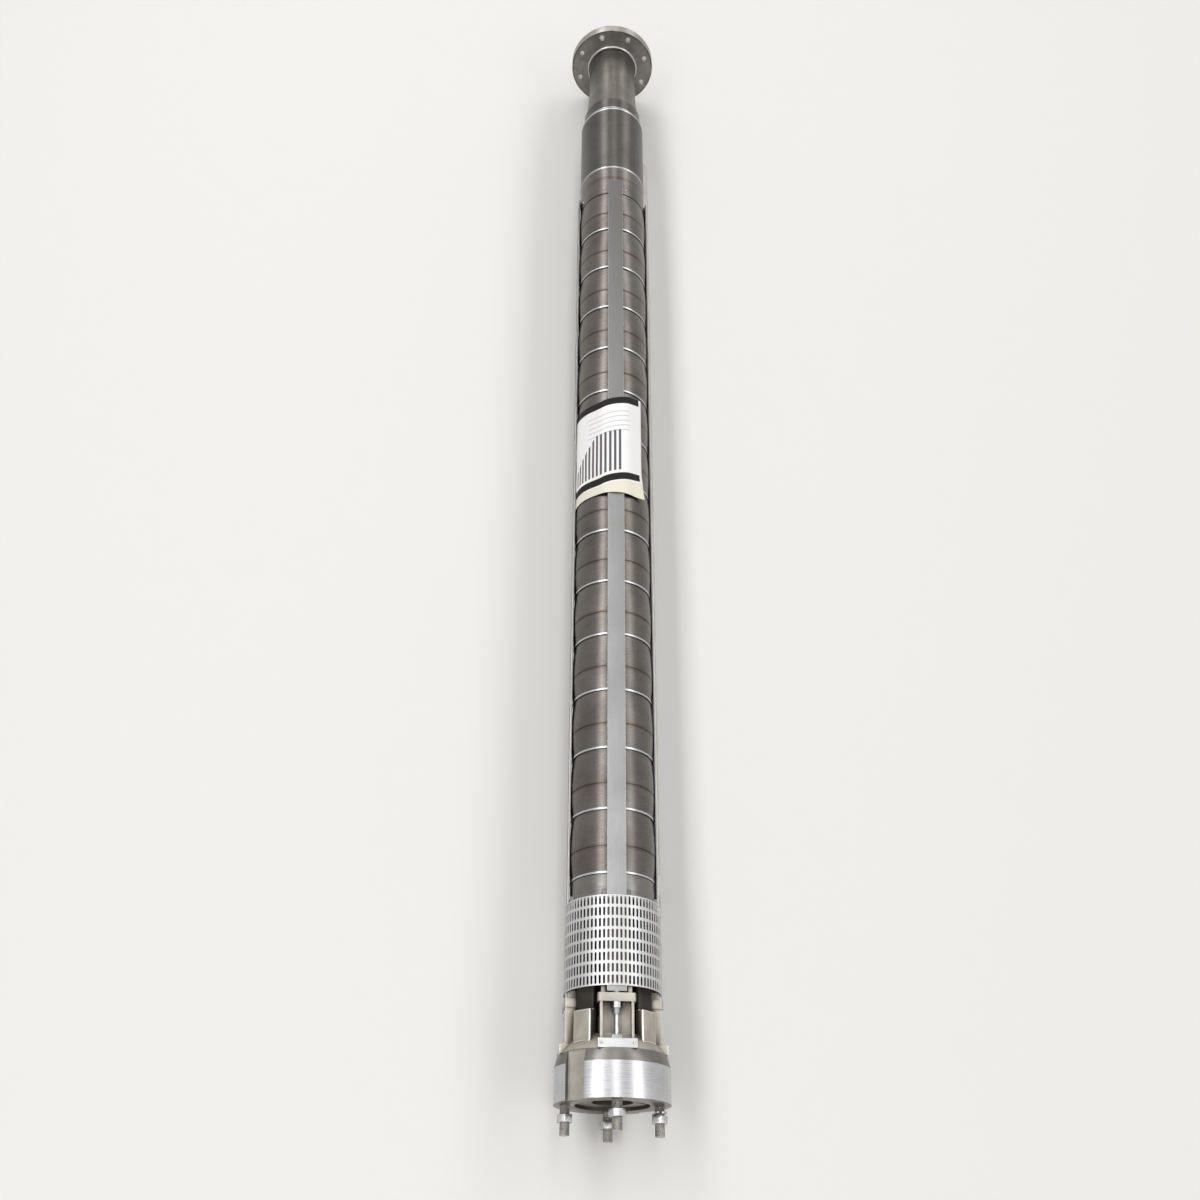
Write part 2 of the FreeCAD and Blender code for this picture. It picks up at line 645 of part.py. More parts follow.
def impellers():
    """Closed impellers, each with its neck in the diaphragm below."""
    wheels = []
    bore = shaft_radius + seat_clearance
    neck_radius = eye_bore_radius - neck_clearance
    for stage in range(stage_count):
        bottom = cage_top + stage_pitch * stage
        wheels.append(turned(f"impeller_{stage + 1}", [
            (bore, bottom - impeller_neck_length),
            (neck_radius, bottom - impeller_neck_length),
            (neck_radius, bottom + impeller_outlet_start),
            (impeller_radius, bottom + impeller_outlet_start),
            (impeller_radius, bottom + impeller_outlet_end),
            (bore, bottom + impeller_outlet_end),
        ]))
    grouped("impellers", wheels)


def rotor():
    """Shaft, coupling and the nut that holds the stack of impellers."""
    nut_bottom = cage_top + stage_pitch * (stage_count - 1) + impeller_outlet_end
    shaft_top = stage_top + shaft_above_stages
    keep("pump_shaft", rod(shaft_radius, coupling_joint, shaft_top))
    keep("coupling", turned("coupling_sleeve", [
        (coupling_bore_radius, coupling_bottom),
        (coupling_radius, coupling_bottom),
        (coupling_radius, coupling_top),
        (shaft_radius + seat_clearance, coupling_top),
        (shaft_radius + seat_clearance, coupling_joint),
        (coupling_bore_radius, coupling_joint),
    ]))
    nut = hexagon(lock_nut_width, nut_bottom, nut_bottom + lock_nut_height)
    bore = rod(shaft_radius + seat_clearance, nut_bottom, nut_bottom + lock_nut_height)
    keep("shaft_nut", cut(nut, [bore]))


def bearings():
    """Lower and upper bearing bushes of the shaft."""
    bushes = []
    for bottom in (lower_bearing_bottom, upper_bearing_bottom):
        outer = rod(bush_radius - seat_clearance, bottom, bottom + spider_height)
        bore = rod(shaft_radius + running_clearance, bottom, bottom + spider_height)
        bushes.append(cut(outer, [bore]))
    grouped("bearing_bushes", bushes)


def discharge_chamber():
    """Plain ring on top of the stages, with the upper bearing arms and the strap hook slots."""
    inner_radius = chamber_rim_radius - discharge_chamber_wall
    ring = turned("discharge_ring", [
        (inner_radius, stage_top),
        (chamber_rim_radius, stage_top),
        (chamber_rim_radius, casing_bottom),
        (inner_radius, casing_bottom),
    ])
    bottom = upper_bearing_bottom
    top = bottom + spider_height
    solids = [ring, rod(spider_hub_radius, bottom, top)]
    holes = [rod(bush_radius, bottom, top)]
    arm_inner = spider_hub_radius - arm_root
    arm_outer = inner_radius + arm_root
    for turn in QUARTER_TURNS:
        solids.append(block(spider_arm_half_width, bottom, top, arm_inner, arm_outer, turn + 45))
        hook_bottom = stage_top + strap_hook_station - hook_clearance
        hook_top = hook_bottom + strap_hook_length + 2 * hook_clearance
        half_width = strap_half_width - strap_end_round + hook_clearance
        floor = chamber_rim_radius - strap_hook_depth - hook_clearance
        holes.append(block(half_width, hook_bottom, hook_top, floor, chamber_rim_radius + OVERRUN, turn))
    keep("discharge_chamber", cut(fused(solids), holes))


def valve():
    """Non-return valve: casing, seat, disc with its stem, guide and spring."""
    inner_radius = valve_casing_radius - valve_casing_wall
    casing = turned("casing_tube", [
        (inner_radius, casing_bottom),
        (valve_casing_radius, casing_bottom),
        (valve_casing_radius, collar_bottom),
        (collar_radius, collar_bottom + casing_round),
        (collar_radius, neck_bottom),
        (collar_radius - collar_wall, neck_bottom),
        (collar_radius - collar_wall, collar_bottom - shoulder_wall),
        (inner_radius, collar_bottom - shoulder_wall),
    ])
    keep("valve_casing", casing)
    keep("valve_seat", turned("seat_ring", [
        (valve_seat_radius, casing_bottom),
        (inner_radius - seat_clearance, casing_bottom),
        (inner_radius - seat_clearance, disc_bottom),
        (valve_seat_radius, disc_bottom),
    ]))
    disc_top = disc_bottom + valve_disc_thickness
    disc = turned("disc_and_stem", [
        (0, disc_bottom),
        (valve_disc_radius, disc_bottom),
        (valve_disc_radius, disc_top),
        (valve_stem_radius, disc_top),
        (valve_stem_radius, disc_top + valve_stem_length),
        (0, disc_top + valve_stem_length),
    ])
    keep("valve_disc", disc)
    guide_bottom = disc_top + guide_station
    guide_top = guide_bottom + guide_height
    arms = []
    arm_inner = guide_hub_radius - arm_root
    arm_outer = chord_height(inner_radius, guide_arm_half_width) - guide_fit
    for turn in (0, 120, 240):
        arms.append(block(guide_arm_half_width, guide_bottom, guide_top, arm_inner, arm_outer, turn))
    hub = rod(guide_hub_radius, guide_bottom, guide_top)
    bore = rod(valve_stem_radius + running_clearance, guide_bottom, guide_top)
    keep("valve_guide", cut(fused([hub] + arms), [bore]))
    sleeve = rod(spring_radius, disc_top, guide_bottom)
    hollow = rod(spring_radius - spring_wall, disc_top, guide_bottom)
    keep("valve_spring", cut(sleeve, [hollow]))


def discharge_end():
    """Flared reducer with its pipe, and the bolted flange that it is welded into."""
    flange_bottom = flange_top - flange_thickness
    flare_end = neck_bottom + neck_pipe_station
    pipe_bore = neck_pipe_radius - neck_wall
    mouth_bore = neck_middle_radius - neck_wall
    keep("discharge_reducer", turned("reducer_and_pipe", [
        (mouth_bore, neck_bottom),
        (neck_mouth_radius, neck_bottom),
        (neck_middle_radius, neck_bottom + neck_middle_station),
        (neck_pipe_radius, flare_end),
        (neck_pipe_radius, flange_bottom - weld_bead),
        (neck_pipe_radius + weld_bead, flange_bottom),
        (pipe_bore, flange_bottom),
        (pipe_bore, flare_end),
        (mouth_bore, flare_end - neck_middle_station),
    ]))
    ring = turned("flange_disc", [
        (pipe_bore, flange_bottom),
        (flange_radius, flange_bottom),
        (flange_radius, flange_top),
        (pipe_bore, flange_top),
    ])
    holes = []
    for number in range(flange_hole_count):
        turn = 360 / flange_hole_count * (number + 0.5)
        hole_bottom = flange_bottom - OVERRUN
        holes.append(rod(flange_hole_radius, hole_bottom, flange_top + OVERRUN, flange_bolt_circle, turn))
    keep("discharge_flange", cut(ring, holes))


def guard_channel(bottom, top, carrier_radius):
    """Bent channel of one cable guard, with its open side on a carrier of the given radius."""
    inside_half_width = guard_half_width - guard_sheet
    edge = chord_height(carrier_radius, inside_half_width) + guard_gap
    outside = block(guard_half_width, bottom, top, edge, guard_face, guard_turn)
    low = bottom - OVERRUN
    high = top + OVERRUN
    inside = block(inside_half_width, low, high, edge - OVERRUN, guard_face - guard_sheet, guard_turn)
    return cut(outside, [inside])


def guard_tongue(station, direction, seat):
    """End tongue bent down from the channel face on to its seat."""
    riser_end = station - guard_sheet * direction
    foot_end = station + tongue_length * direction
    riser = tongue_part(station, riser_end, seat, guard_face)
    foot = tongue_part(station, foot_end, seat, seat + guard_sheet)
    return [riser, foot]


def tongue_part(station, other_station, inner, outer):
    """One leg of a tongue between two stations given in either order."""
    low, high = sorted((station, other_station), key=lambda place_along: place_along.number)
    return block(tongue_half_width, low, high, inner, outer, guard_turn)


def cable_guard(label, ends, carrier_radius, seats):
    """One length of the channel that covers the motor cable, with a tongue at each of its two ends."""
    bottom, top = ends
    solids = [guard_channel(bottom, top, carrier_radius)]
    solids += guard_tongue(bottom, -1, seats[0])
    solids += guard_tongue(top, 1, seats[1])
    keep(label, fused(solids))


def cable_guards():
    """The two lengths of cable guard, end to end."""
    chamber_seat = chamber_belly_radius + guard_gap
    casing_seat = valve_casing_radius + guard_gap
    lower_ends = (lower_guard_bottom, lower_guard_top)
    upper_ends = (upper_guard_bottom, upper_guard_top)
    cable_guard("cable_guard_lower", lower_ends, strainer_radius, (post_flat, chamber_seat))
    cable_guard("cable_guard_upper", upper_ends, chamber_belly_radius, (chamber_seat, casing_seat))


def check_and_write():
    """Stop on any failed object, then write each sub-part to its own file."""
    document.recompute()
    for item in document.Objects:
        if "Invalid" in item.State or "Error" in item.State:
            raise RuntimeError(f"{item.Label} failed: {item.State}")
    os.makedirs("parts", exist_ok=True)
    for label, piece in nodes.items():
        shape = piece.Shape
        if shape.isNull() or not shape.isValid() or not shape.Solids:
            raise RuntimeError(f"{label} has no valid solid")
        shape.exportStep(f"parts/{label}.step")
        print(label, "solids", len(shape.Solids), "volume", round(shape.Volume / 1000, 1), "cm3")


suction_casting()
strainer()
STRAP_NAMES = ("strap_top", "strap_right", "strap_bottom", "strap_left")
for strap_name, strap_turn in zip(STRAP_NAMES, QUARTER_TURNS):
    strap(strap_name, strap_turn)
strap_nuts()
cover_plates()
motor_fasteners()
chambers()
impellers()
rotor()
bearings()
discharge_chamber()
valve()
discharge_end()
cable_guards()
check_and_write()
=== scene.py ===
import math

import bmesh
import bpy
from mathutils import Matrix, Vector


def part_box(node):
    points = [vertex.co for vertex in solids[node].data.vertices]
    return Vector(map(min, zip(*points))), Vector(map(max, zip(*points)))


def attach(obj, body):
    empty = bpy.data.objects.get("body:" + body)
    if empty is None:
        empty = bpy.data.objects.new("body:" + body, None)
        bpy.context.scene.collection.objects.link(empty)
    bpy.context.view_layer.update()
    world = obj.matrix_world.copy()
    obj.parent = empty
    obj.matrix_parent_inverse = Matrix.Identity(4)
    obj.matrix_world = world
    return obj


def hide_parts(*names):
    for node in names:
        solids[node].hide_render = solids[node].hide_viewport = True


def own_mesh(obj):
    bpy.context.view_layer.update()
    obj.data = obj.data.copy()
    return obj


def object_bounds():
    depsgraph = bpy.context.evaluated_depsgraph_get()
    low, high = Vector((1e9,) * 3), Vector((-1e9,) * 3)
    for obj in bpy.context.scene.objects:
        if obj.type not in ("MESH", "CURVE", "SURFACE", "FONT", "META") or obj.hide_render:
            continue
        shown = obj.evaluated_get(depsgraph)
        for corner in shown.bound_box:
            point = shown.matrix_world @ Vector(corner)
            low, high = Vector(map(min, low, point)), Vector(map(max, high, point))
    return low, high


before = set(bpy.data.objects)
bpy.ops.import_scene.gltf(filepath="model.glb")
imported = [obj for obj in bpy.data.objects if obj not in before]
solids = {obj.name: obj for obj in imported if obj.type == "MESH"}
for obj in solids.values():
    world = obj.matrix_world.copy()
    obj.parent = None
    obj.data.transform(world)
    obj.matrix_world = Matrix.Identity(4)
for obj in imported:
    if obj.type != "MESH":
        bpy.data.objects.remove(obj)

# %% [markdown]
# # A borehole submersible pump
#
# The pump end of a deep well set lies on its side: a suction cage, fourteen chambers held together by
# four flat straps, a valve casing and a discharge flange. The solids come from the frame. This notebook
# gives them their finish and makes the finer pieces, such as the perforated strainer and the screws.
# Everything is in metres, and the pump axis is Y, with the motor end at zero.

MM = 0.001
scene = bpy.context.scene
frame_low, frame_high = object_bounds()
print("frame", [round(side, 3) for side in frame_high - frame_low], "solids", len(solids))

# %% [markdown]
# Colours are written as the hex values that an eye reads off a surface. Blender mixes light in linear
# values, so one function turns a hex value into linear red, green and blue.

# %% A colour from its hex value
def colour(code):
    """Linear colour of an sRGB hex value."""
    channels = [int(code[place:place + 2], 16) / 255 for place in (1, 3, 5)]
    linear = [part / 12.92 if part <= 0.04045 else ((part + 0.055) / 1.055) ** 2.4 for part in channels]
    return (*linear, 1.0)


# %% [markdown]
# A material and a Geometry Nodes tree are both made of nodes, so one small function adds a node, sets
# its properties and fills its inputs with values or with links from other nodes.

# %% A node with its settings and links
def node(tree, kind, settings=None, **inputs):
    """Add a node. An input whose value is a socket is linked, and any other value is set."""
    made = tree.nodes.new(kind)
    for name, value in (settings or {}).items():
        setattr(made, name, value)
    for name, value in inputs.items():
        place = int(name[1:]) if name[1:].isdigit() else name.replace("_", " ")
        socket = made.inputs[place]
        if isinstance(value, bpy.types.NodeSocket):
            tree.links.new(value, socket)
        else:
            socket.default_value = value
    return made


# %% Short names for the nodes that come back most
def maths(tree, operation, *values):
    """The result of a math node on values or links."""
    inputs = {f"i{index}": value for index, value in enumerate(values)}
    return node(tree, "ShaderNodeMath", {"operation": operation}, **inputs).outputs[0]


def ranged(tree, value, low, high, start=0.0, end=1.0, steps="LINEAR"):
    """A value carried over from one range to another."""
    made = node(tree, "ShaderNodeMapRange", {"interpolation_type": steps}, Value=value,
                From_Min=low, From_Max=high, To_Min=start, To_Max=end)
    return made.outputs["Result"]


def blended(tree, share, first, second):
    """A colour between two colours or links."""
    return node(tree, "ShaderNodeMix", {"data_type": "RGBA"}, Factor=share, i6=first, i7=second).outputs[2]


def place_in(tree):
    """The place on its object of the point that is shaded."""
    return node(tree, "ShaderNodeTexCoord").outputs["Object"]


def station_in(tree):
    """How far along the pump axis the shaded point lies."""
    return node(tree, "ShaderNodeSeparateXYZ", Vector=place_in(tree)).outputs["Y"]


# %% [markdown]
# Every steel on the pump shares one recipe: a metal whose colour drifts a little between two tones, whose
# roughness drifts with the same cloud, and whose surface has the marks of how it was made. The marks are
# a noise stretched along the direction in which the surface was brushed, turned or rolled. A casting that
# was shot blasted has marks that are equally long in every direction.

# %% A steel finish
def steel(name, light, dark, roughness, marks, mark_depth, cloud=60, spread=0.5):
    """Steel between two tones. marks are the sizes of the surface marks in millimetres along X, Y and Z."""
    material = bpy.data.materials.new(name)
    material.use_nodes = True
    tree = material.node_tree
    shader = tree.nodes["Principled BSDF"]
    place = place_in(tree)
    patches = node(tree, "ShaderNodeTexNoise", Vector=place, Scale=1000 / cloud, Detail=5.0, Roughness=0.6)
    tone = ranged(tree, patches.outputs["Fac"], 0.5 - spread / 2, 0.5 + spread / 2)
    stretch = node(tree, "ShaderNodeMapping", Vector=place, Scale=tuple(1000 / length for length in marks))
    grain = node(tree, "ShaderNodeTexNoise", Vector=stretch.outputs["Vector"], Scale=1.0, Detail=3.0)
    rough = ranged(tree, grain.outputs["Fac"], 0.3, 0.7, roughness - 0.07, roughness + 0.07)
    relief = node(tree, "ShaderNodeBump", Height=grain.outputs["Fac"], Strength=0.6, Distance=mark_depth * MM)
    shader.inputs["Metallic"].default_value = 1.0
    tree.links.new(blended(tree, tone, colour(dark), colour(light)), shader.inputs["Base Color"])
    tree.links.new(rough, shader.inputs["Roughness"])
    tree.links.new(relief.outputs["Normal"], shader.inputs["Normal"])
    return material


# %% [markdown]
# The chambers are pressed and turned stainless steel with a satin skin that went through many hands, so
# they carry fine rings round the axis and brownish patches. The suction casting and the discharge pipe
# were blasted, which gives an even, grainy beige grey. The motor ring is fresh from the lathe and nearly
# white. The straps are rolled bar, brushed along their length.

# %% The finishes of the pump
chamber_steel = steel("satin_stainless_chamber", "#74706c", "#4d4844", 0.3, (40, 1.2, 40), 0.05, 90, 0.8)
cast_steel = steel("blasted_stainless_casting", "#bbb6ad", "#969188", 0.5, (1.5, 1.5, 1.5), 0.25, 50)
# The dark inside finish is painted shade, for the faces inside the casting and under the strainer.
inside_steel = steel("stained_casting_inside", "#4b4742", "#2f2c29", 0.6, (2, 2, 2), 0.2, 40)
under_steel = steel("turned_face_in_shade", "#918c84", "#67625a", 0.34, (40, 4, 40), 0.05, 40)
# The light edge finish is a painted highlight on rounded edges.
worn_steel = steel("worn_casting_edge", "#efede8", "#d6d3cc", 0.36, (2, 2, 2), 0.05, 30)
cone_steel = steel("ground_stainless_cone", "#82807d", "#65625f", 0.34, (50, 1.0, 50), 0.05, 60)
# The bright turned finish is the real skin of the motor ring's turned band, and a painted highlight on the
# chamber lips, the bright rings and the edges of the nuts.
turned_steel = steel("turned_stainless_ring", "#c4c4c8", "#afafb2", 0.3, (60, 1.0, 60), 0.05, 80)
strap_steel = steel("brushed_stainless_bar", "#a0a0a1", "#8e8e8f", 0.55, (1.6, 60, 1.6), 0.05, 120)
strainer_steel = steel("bright_stainless_sheet", "#c8c8c9", "#b4b4b5", 0.48, (3, 20, 3), 0.02, 60)
guard_steel = steel("mill_finish_sheet", "#cbc9c5", "#adaaa5", 0.46, (3, 50, 3), 0.04, 120)
bolt_steel = steel("bright_stainless_fastener", "#cfcfd0", "#a3a2a0", 0.27, (4, 1.5, 4), 0.03, 20)
casing_steel = steel("dull_stainless_casing", "#5b5956", "#44413e", 0.34, (40, 1.4, 40), 0.06, 70, 0.7)
pipe_steel = steel("pickled_stainless_flange", "#a19e99", "#7d7973", 0.4, (3, 3, 3), 0.12, 35)
neck_steel = steel("pickled_stainless_pipe", "#716e69", "#59554f", 0.4, (3, 3, 3), 0.12, 35)
inner_steel = steel("machined_stainless_inner", "#8c8a86", "#6b6864", 0.4, (30, 1.0, 30), 0.04, 50)
print("finishes", len(bpy.data.materials))

# %% [markdown]
# Four finishes need one more pattern. Where the two halves of a chamber were welded, heat left a soft brown
# line round it. The corners of the casting are darkened, a painted shade. The straps darken towards the
# discharge end and under the strainer, painted shade as well. The motor studs have a thread pitch of 2.5
# millimetres, as M20 threads have, so a wave along the axis with that length raises and sinks their surface.
# Two of the patterns follow stations in millimetres along the axis, which the chambers and the strainer use
# again further down.

# %% Stations that patterns and pieces share
stage_count, stage_pitch, first_edge = 14, 144.0, 455.0
belly = first_edge + 0.43 * stage_pitch
strainer_low, strainer_high = 219.0, 407.0


# %% Another tone over part of a finish
def overlay(material, share, code):
    """Mix another colour into a finish where the share is high."""
    tree = material.node_tree
    skin = tree.nodes["Principled BSDF"].inputs["Base Color"]
    tree.links.new(blended(tree, share, skin.links[0].from_socket, colour(code)), skin)


# %% The brown line at the joint of each chamber
tree = chamber_steel.node_tree
line_reach = 9.0
from_joint = maths(tree, "SUBTRACT", station_in(tree), belly * MM)
wrapped = maths(tree, "WRAP", from_joint, stage_pitch / 2 * MM, -stage_pitch / 2 * MM)
distance = maths(tree, "ABSOLUTE", wrapped)
overlay(chamber_steel, ranged(tree, distance, 0.0, line_reach * MM, 0.6, 0.0, "SMOOTHSTEP"), "#4f463d")

# %% Painted shade in the corners of the casting
tree = cast_steel.node_tree
corner_reach = 30.0
# An ambient occlusion node darkens the corners of the casting: painted shade.
corner = node(tree, "ShaderNodeAmbientOcclusion", {"samples": 8}, Distance=corner_reach * MM)
overlay(cast_steel, ranged(tree, corner.outputs["AO"], 0.3, 0.9, 1.0, 0.0), "#57524b")

# %% The straps, with painted shade towards the discharge end and under the strainer
tree = strap_steel.node_tree
station = station_in(tree)
dull_from, dull_to, dark_fade = 500.0, 2400.0, 4.0
# Painted shade: the straps darken from 500 mm on towards the discharge end, where the light falls off.
overlay(strap_steel, ranged(tree, station, dull_from * MM, dull_to * MM), "#6c6b6a")
# Painted shade under the strainer, which fades out over a few millimetres at each end.
dark_middle = (strainer_low + strainer_high) / 2
dark_reach = (strainer_high - strainer_low) / 2 - dark_fade
from_middle = maths(tree, "ABSOLUTE", maths(tree, "SUBTRACT", station, dark_middle * MM))
overlay(strap_steel, ranged(tree, from_middle, dark_reach * MM, (dark_reach - dark_fade) * MM), "#4f4c48")

# %% Threads on the motor studs
thread_pitch = 2.5
bands_at_scale_one = 20 / math.tau
thread_steel = steel("threaded_stainless_rod", "#bbb9b4", "#96928b", 0.3, (4, 4, 4), 0.03, 20)
tree = thread_steel.node_tree
ridges = node(tree, "ShaderNodeTexWave", {"wave_type": "BANDS", "bands_direction": "Y"},
              Vector=place_in(tree), Scale=1 / (bands_at_scale_one * thread_pitch * MM))
thread = node(tree, "ShaderNodeBump", Height=ridges.outputs["Fac"], Strength=0.9, Distance=1.2 * MM)
tree.links.new(thread.outputs["Normal"], tree.nodes["Principled BSDF"].inputs["Normal"])
print("thread pitch", thread_pitch, "mm")

# %% [markdown]
# Rubber and paper are not metals. Rubber is nearly black and dull. The paper that lies on the chambers is a
# coated copy sheet: white, slightly rough and with a faint sheen.

# %% Rubber and paper
def plain(name, code, roughness, mottle=0.02, size=20):
    """A dull material whose roughness and relief drift a little."""
    material = bpy.data.materials.new(name)
    material.use_nodes = True
    tree = material.node_tree
    shader = tree.nodes["Principled BSDF"]
    shader.inputs["Base Color"].default_value = colour(code)
    patches = node(tree, "ShaderNodeTexNoise", Vector=place_in(tree), Scale=1000 / size, Detail=4.0)
    rough = ranged(tree, patches.outputs["Fac"], 0.0, 1.0, roughness - 0.06, roughness + 0.06)
    relief = node(tree, "ShaderNodeBump", Height=patches.outputs["Fac"], Strength=0.5, Distance=mottle * MM)
    tree.links.new(rough, shader.inputs["Roughness"])
    tree.links.new(relief.outputs["Normal"], shader.inputs["Normal"])
    return material


bearing_rubber = plain("moulded_rubber", "#1d1c1b", 0.6, 0.05)
paper_white = plain("coated_paper", "#e4e3e2", 0.5, 0.15, 40)
paper_cream = plain("coated_paper_margin", "#d9d6c4", 0.5, 0.15, 40)
paper_ink = plain("printed_band", "#1b1a1a", 0.6, 0.05, 40)
paper_bar = plain("printed_bar", "#56545a", 0.5, 0.05, 40)
paper_grey = plain("printed_grey", "#bfbfc6", 0.5, 0.05, 40)
for printed in (paper_ink, paper_bar):
    printed.node_tree.nodes["Principled BSDF"].inputs["Specular IOR Level"].default_value = 0.15

# %% [markdown]
# The solids whose shape is already right keep their mesh and only get a finish. The pieces that are made
# finer below replace theirs.

# %% Finishes on the solids
finishes = {
    "impellers": inner_steel,
    "pump_shaft": inner_steel, "coupling": inner_steel, "shaft_nut": bolt_steel,
    "bearing_bushes": bearing_rubber, "valve_seat": inner_steel, "valve_disc": inner_steel,
    "valve_guide": inner_steel, "discharge_chamber": chamber_steel,
}
for name, finish in finishes.items():
    solid = solids[name]
    solid.data.materials.clear()
    solid.data.materials.append(finish)
print("finished solids", len(finishes))

# %% [markdown]
# A piece made here is one mesh at the origin. It is shaded smooth, with the edges sharper than an angle
# left sharp, and rides on the casing when it is given a slot. A piece without a slot is a pattern for
# copies, and rides on nothing.

# %% From a bmesh to a piece of the pump
def placed(name, mesh):
    """Put a mesh or a camera's or lamp's data in the scene as an object."""
    made = bpy.data.objects.new(name, mesh)
    scene.collection.objects.link(made)
    return made


def shaded(mesh, angle=35):
    """Shade a mesh smooth, but for the edges that are sharper than this angle in degrees."""
    mesh.shade_smooth()
    mesh.set_sharp_from_angle(angle=math.radians(angle))


def piece(name, shape, finish, slot=None, angle=35):
    """Make an object from a bmesh, with faces outward, and let it ride on the casing if it has a slot."""
    bmesh.ops.remove_doubles(shape, verts=shape.verts, dist=1e-6)
    bmesh.ops.recalc_face_normals(shape, faces=shape.faces)
    mesh = bpy.data.meshes.new(name)
    shape.to_mesh(mesh)
    shape.free()
    shaded(mesh, angle)
    mesh.materials.append(finish)
    made = placed(name, mesh)
    if slot:
        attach(made, "casing")
    return made


def finish_index(made, finish):
    """The place of a finish among a piece's materials, where it is added if it is missing."""
    materials = made.data.materials
    if materials.find(finish.name) < 0:
        materials.append(finish)
    return materials.find(finish.name)


# %% [markdown]
# Nearly every shape here is a row of rings, each with equally many corners, with plain faces between one
# ring and the next. The row may run round in a loop, may have a cap at each end, or may stay open.

# %% A bmesh over a row of rings
def joined(rings, looped=False, capped=False):
    """A bmesh over rings of corners in millimetres."""
    shape = bmesh.new()
    made = [[shape.verts.new([part * MM for part in corner]) for corner in ring] for ring in rings]
    for here, there in zip(made, made[1:] + made[:1] if looped else made[1:]):
        for index in range(len(here)):
            after = (index + 1) % len(here)
            shape.faces.new((here[index], here[after], there[after], there[index]))
    if capped:
        shape.faces.new(made[-1])
        shape.faces.new(made[0][::-1])
    return shape


# %% [markdown]
# Most of the pump came off a lathe, so most of its pieces are an outline turned about the axis. An outline
# is a closed row of corners, each a radius and a station in millimetres.

# %% A turned piece
def turned(outline, steps=128):
    """A bmesh made by turning a closed outline about the pump axis."""
    rings = []
    for step in range(steps):
        turn = math.tau * step / steps
        rings.append([(radius * math.sin(turn), station, radius * math.cos(turn))
                      for radius, station in outline])
    return joined(rings, looped=True)


def curve(start, middle, end, steps=8):
    """Corners along the arc through three points of an outline."""
    (ax, ay), (bx, by), (cx, cy) = start, middle, end
    twice = 2 * (ax * (by - cy) + bx * (cy - ay) + cx * (ay - by))
    squares = [ax * ax + ay * ay, bx * bx + by * by, cx * cx + cy * cy]
    px = (squares[0] * (by - cy) + squares[1] * (cy - ay) + squares[2] * (ay - by)) / twice
    py = (squares[0] * (cx - bx) + squares[1] * (ax - cx) + squares[2] * (bx - ax)) / twice
    first = math.atan2(ay - py, ax - px)
    sweep = (math.atan2(cy - py, cx - px) - first + math.pi) % math.tau - math.pi
    reach = math.hypot(ax - px, ay - py)
    angles = [first + sweep * step / steps for step in range(steps + 1)]
    return [(px + reach * math.cos(angle), py + reach * math.sin(angle)) for angle in angles]


# %% [markdown]
# What repeats on this pump repeats round the axis, along it, or both ways: chambers, strainer slots, bolt
# holes and screws. One Geometry Nodes tree does all of that. It puts copies of a piece in rings round the
# axis, and repeats the ring along the axis. The copies are realized and welded, so what comes out is one
# plain mesh.

# %% The tree that repeats a piece round and along the axis
repeat = bpy.data.node_groups.new("repeat_about_axis", "GeometryNodeTree")
for socket_name, socket_kind in (("Piece", "Object"), ("Round", "Int"), ("Rows", "Int"), ("Pitch", "Float"),
                                 ("First Turn", "Float"), ("Finish", "Material")):
    repeat.interface.new_socket(socket_name, in_out="INPUT", socket_type="NodeSocket" + socket_kind)
repeat.interface.new_socket("Geometry", in_out="OUTPUT", socket_type="NodeSocketGeometry")
given = node(repeat, "NodeGroupInput").outputs
points = node(repeat, "GeometryNodeMeshLine", Offset=(0, 0, 0),
              Count=maths(repeat, "MULTIPLY", given["Round"], given["Rows"]))
number = node(repeat, "GeometryNodeInputIndex").outputs["Index"]
share = maths(repeat, "DIVIDE", number, given["Round"])
row = maths(repeat, "FLOOR", share)
whole_turn = maths(repeat, "MULTIPLY", maths(repeat, "FRACT", share), math.tau)
angle = maths(repeat, "ADD", whole_turn, given["First Turn"])
advance = maths(repeat, "MULTIPLY", row, given["Pitch"])
shift = node(repeat, "ShaderNodeCombineXYZ", Y=advance)
spin = node(repeat, "ShaderNodeCombineXYZ", Y=angle)
spaced = node(repeat, "GeometryNodeSetPosition", Geometry=points.outputs["Mesh"], Offset=shift.outputs[0])
model = node(repeat, "GeometryNodeObjectInfo", Object=given["Piece"], As_Instance=True)
copies = node(repeat, "GeometryNodeInstanceOnPoints", Points=spaced.outputs["Geometry"],
              Instance=model.outputs["Geometry"], Rotation=spin.outputs[0])
real = node(repeat, "GeometryNodeRealizeInstances", Geometry=copies.outputs["Instances"])
welded = node(repeat, "GeometryNodeMergeByDistance", Geometry=real.outputs["Geometry"], Distance=0.00001)
dressed = node(repeat, "GeometryNodeSetMaterial", Geometry=welded.outputs["Geometry"],
               Material=given["Finish"])
node(repeat, "NodeGroupOutput", Geometry=dressed.outputs["Geometry"])


# %% Running the tree on one piece
def as_modified(made):
    """A plain mesh of an object as its modifiers leave it."""
    bpy.context.view_layer.update()
    return bpy.data.meshes.new_from_object(made.evaluated_get(bpy.context.evaluated_depsgraph_get()))


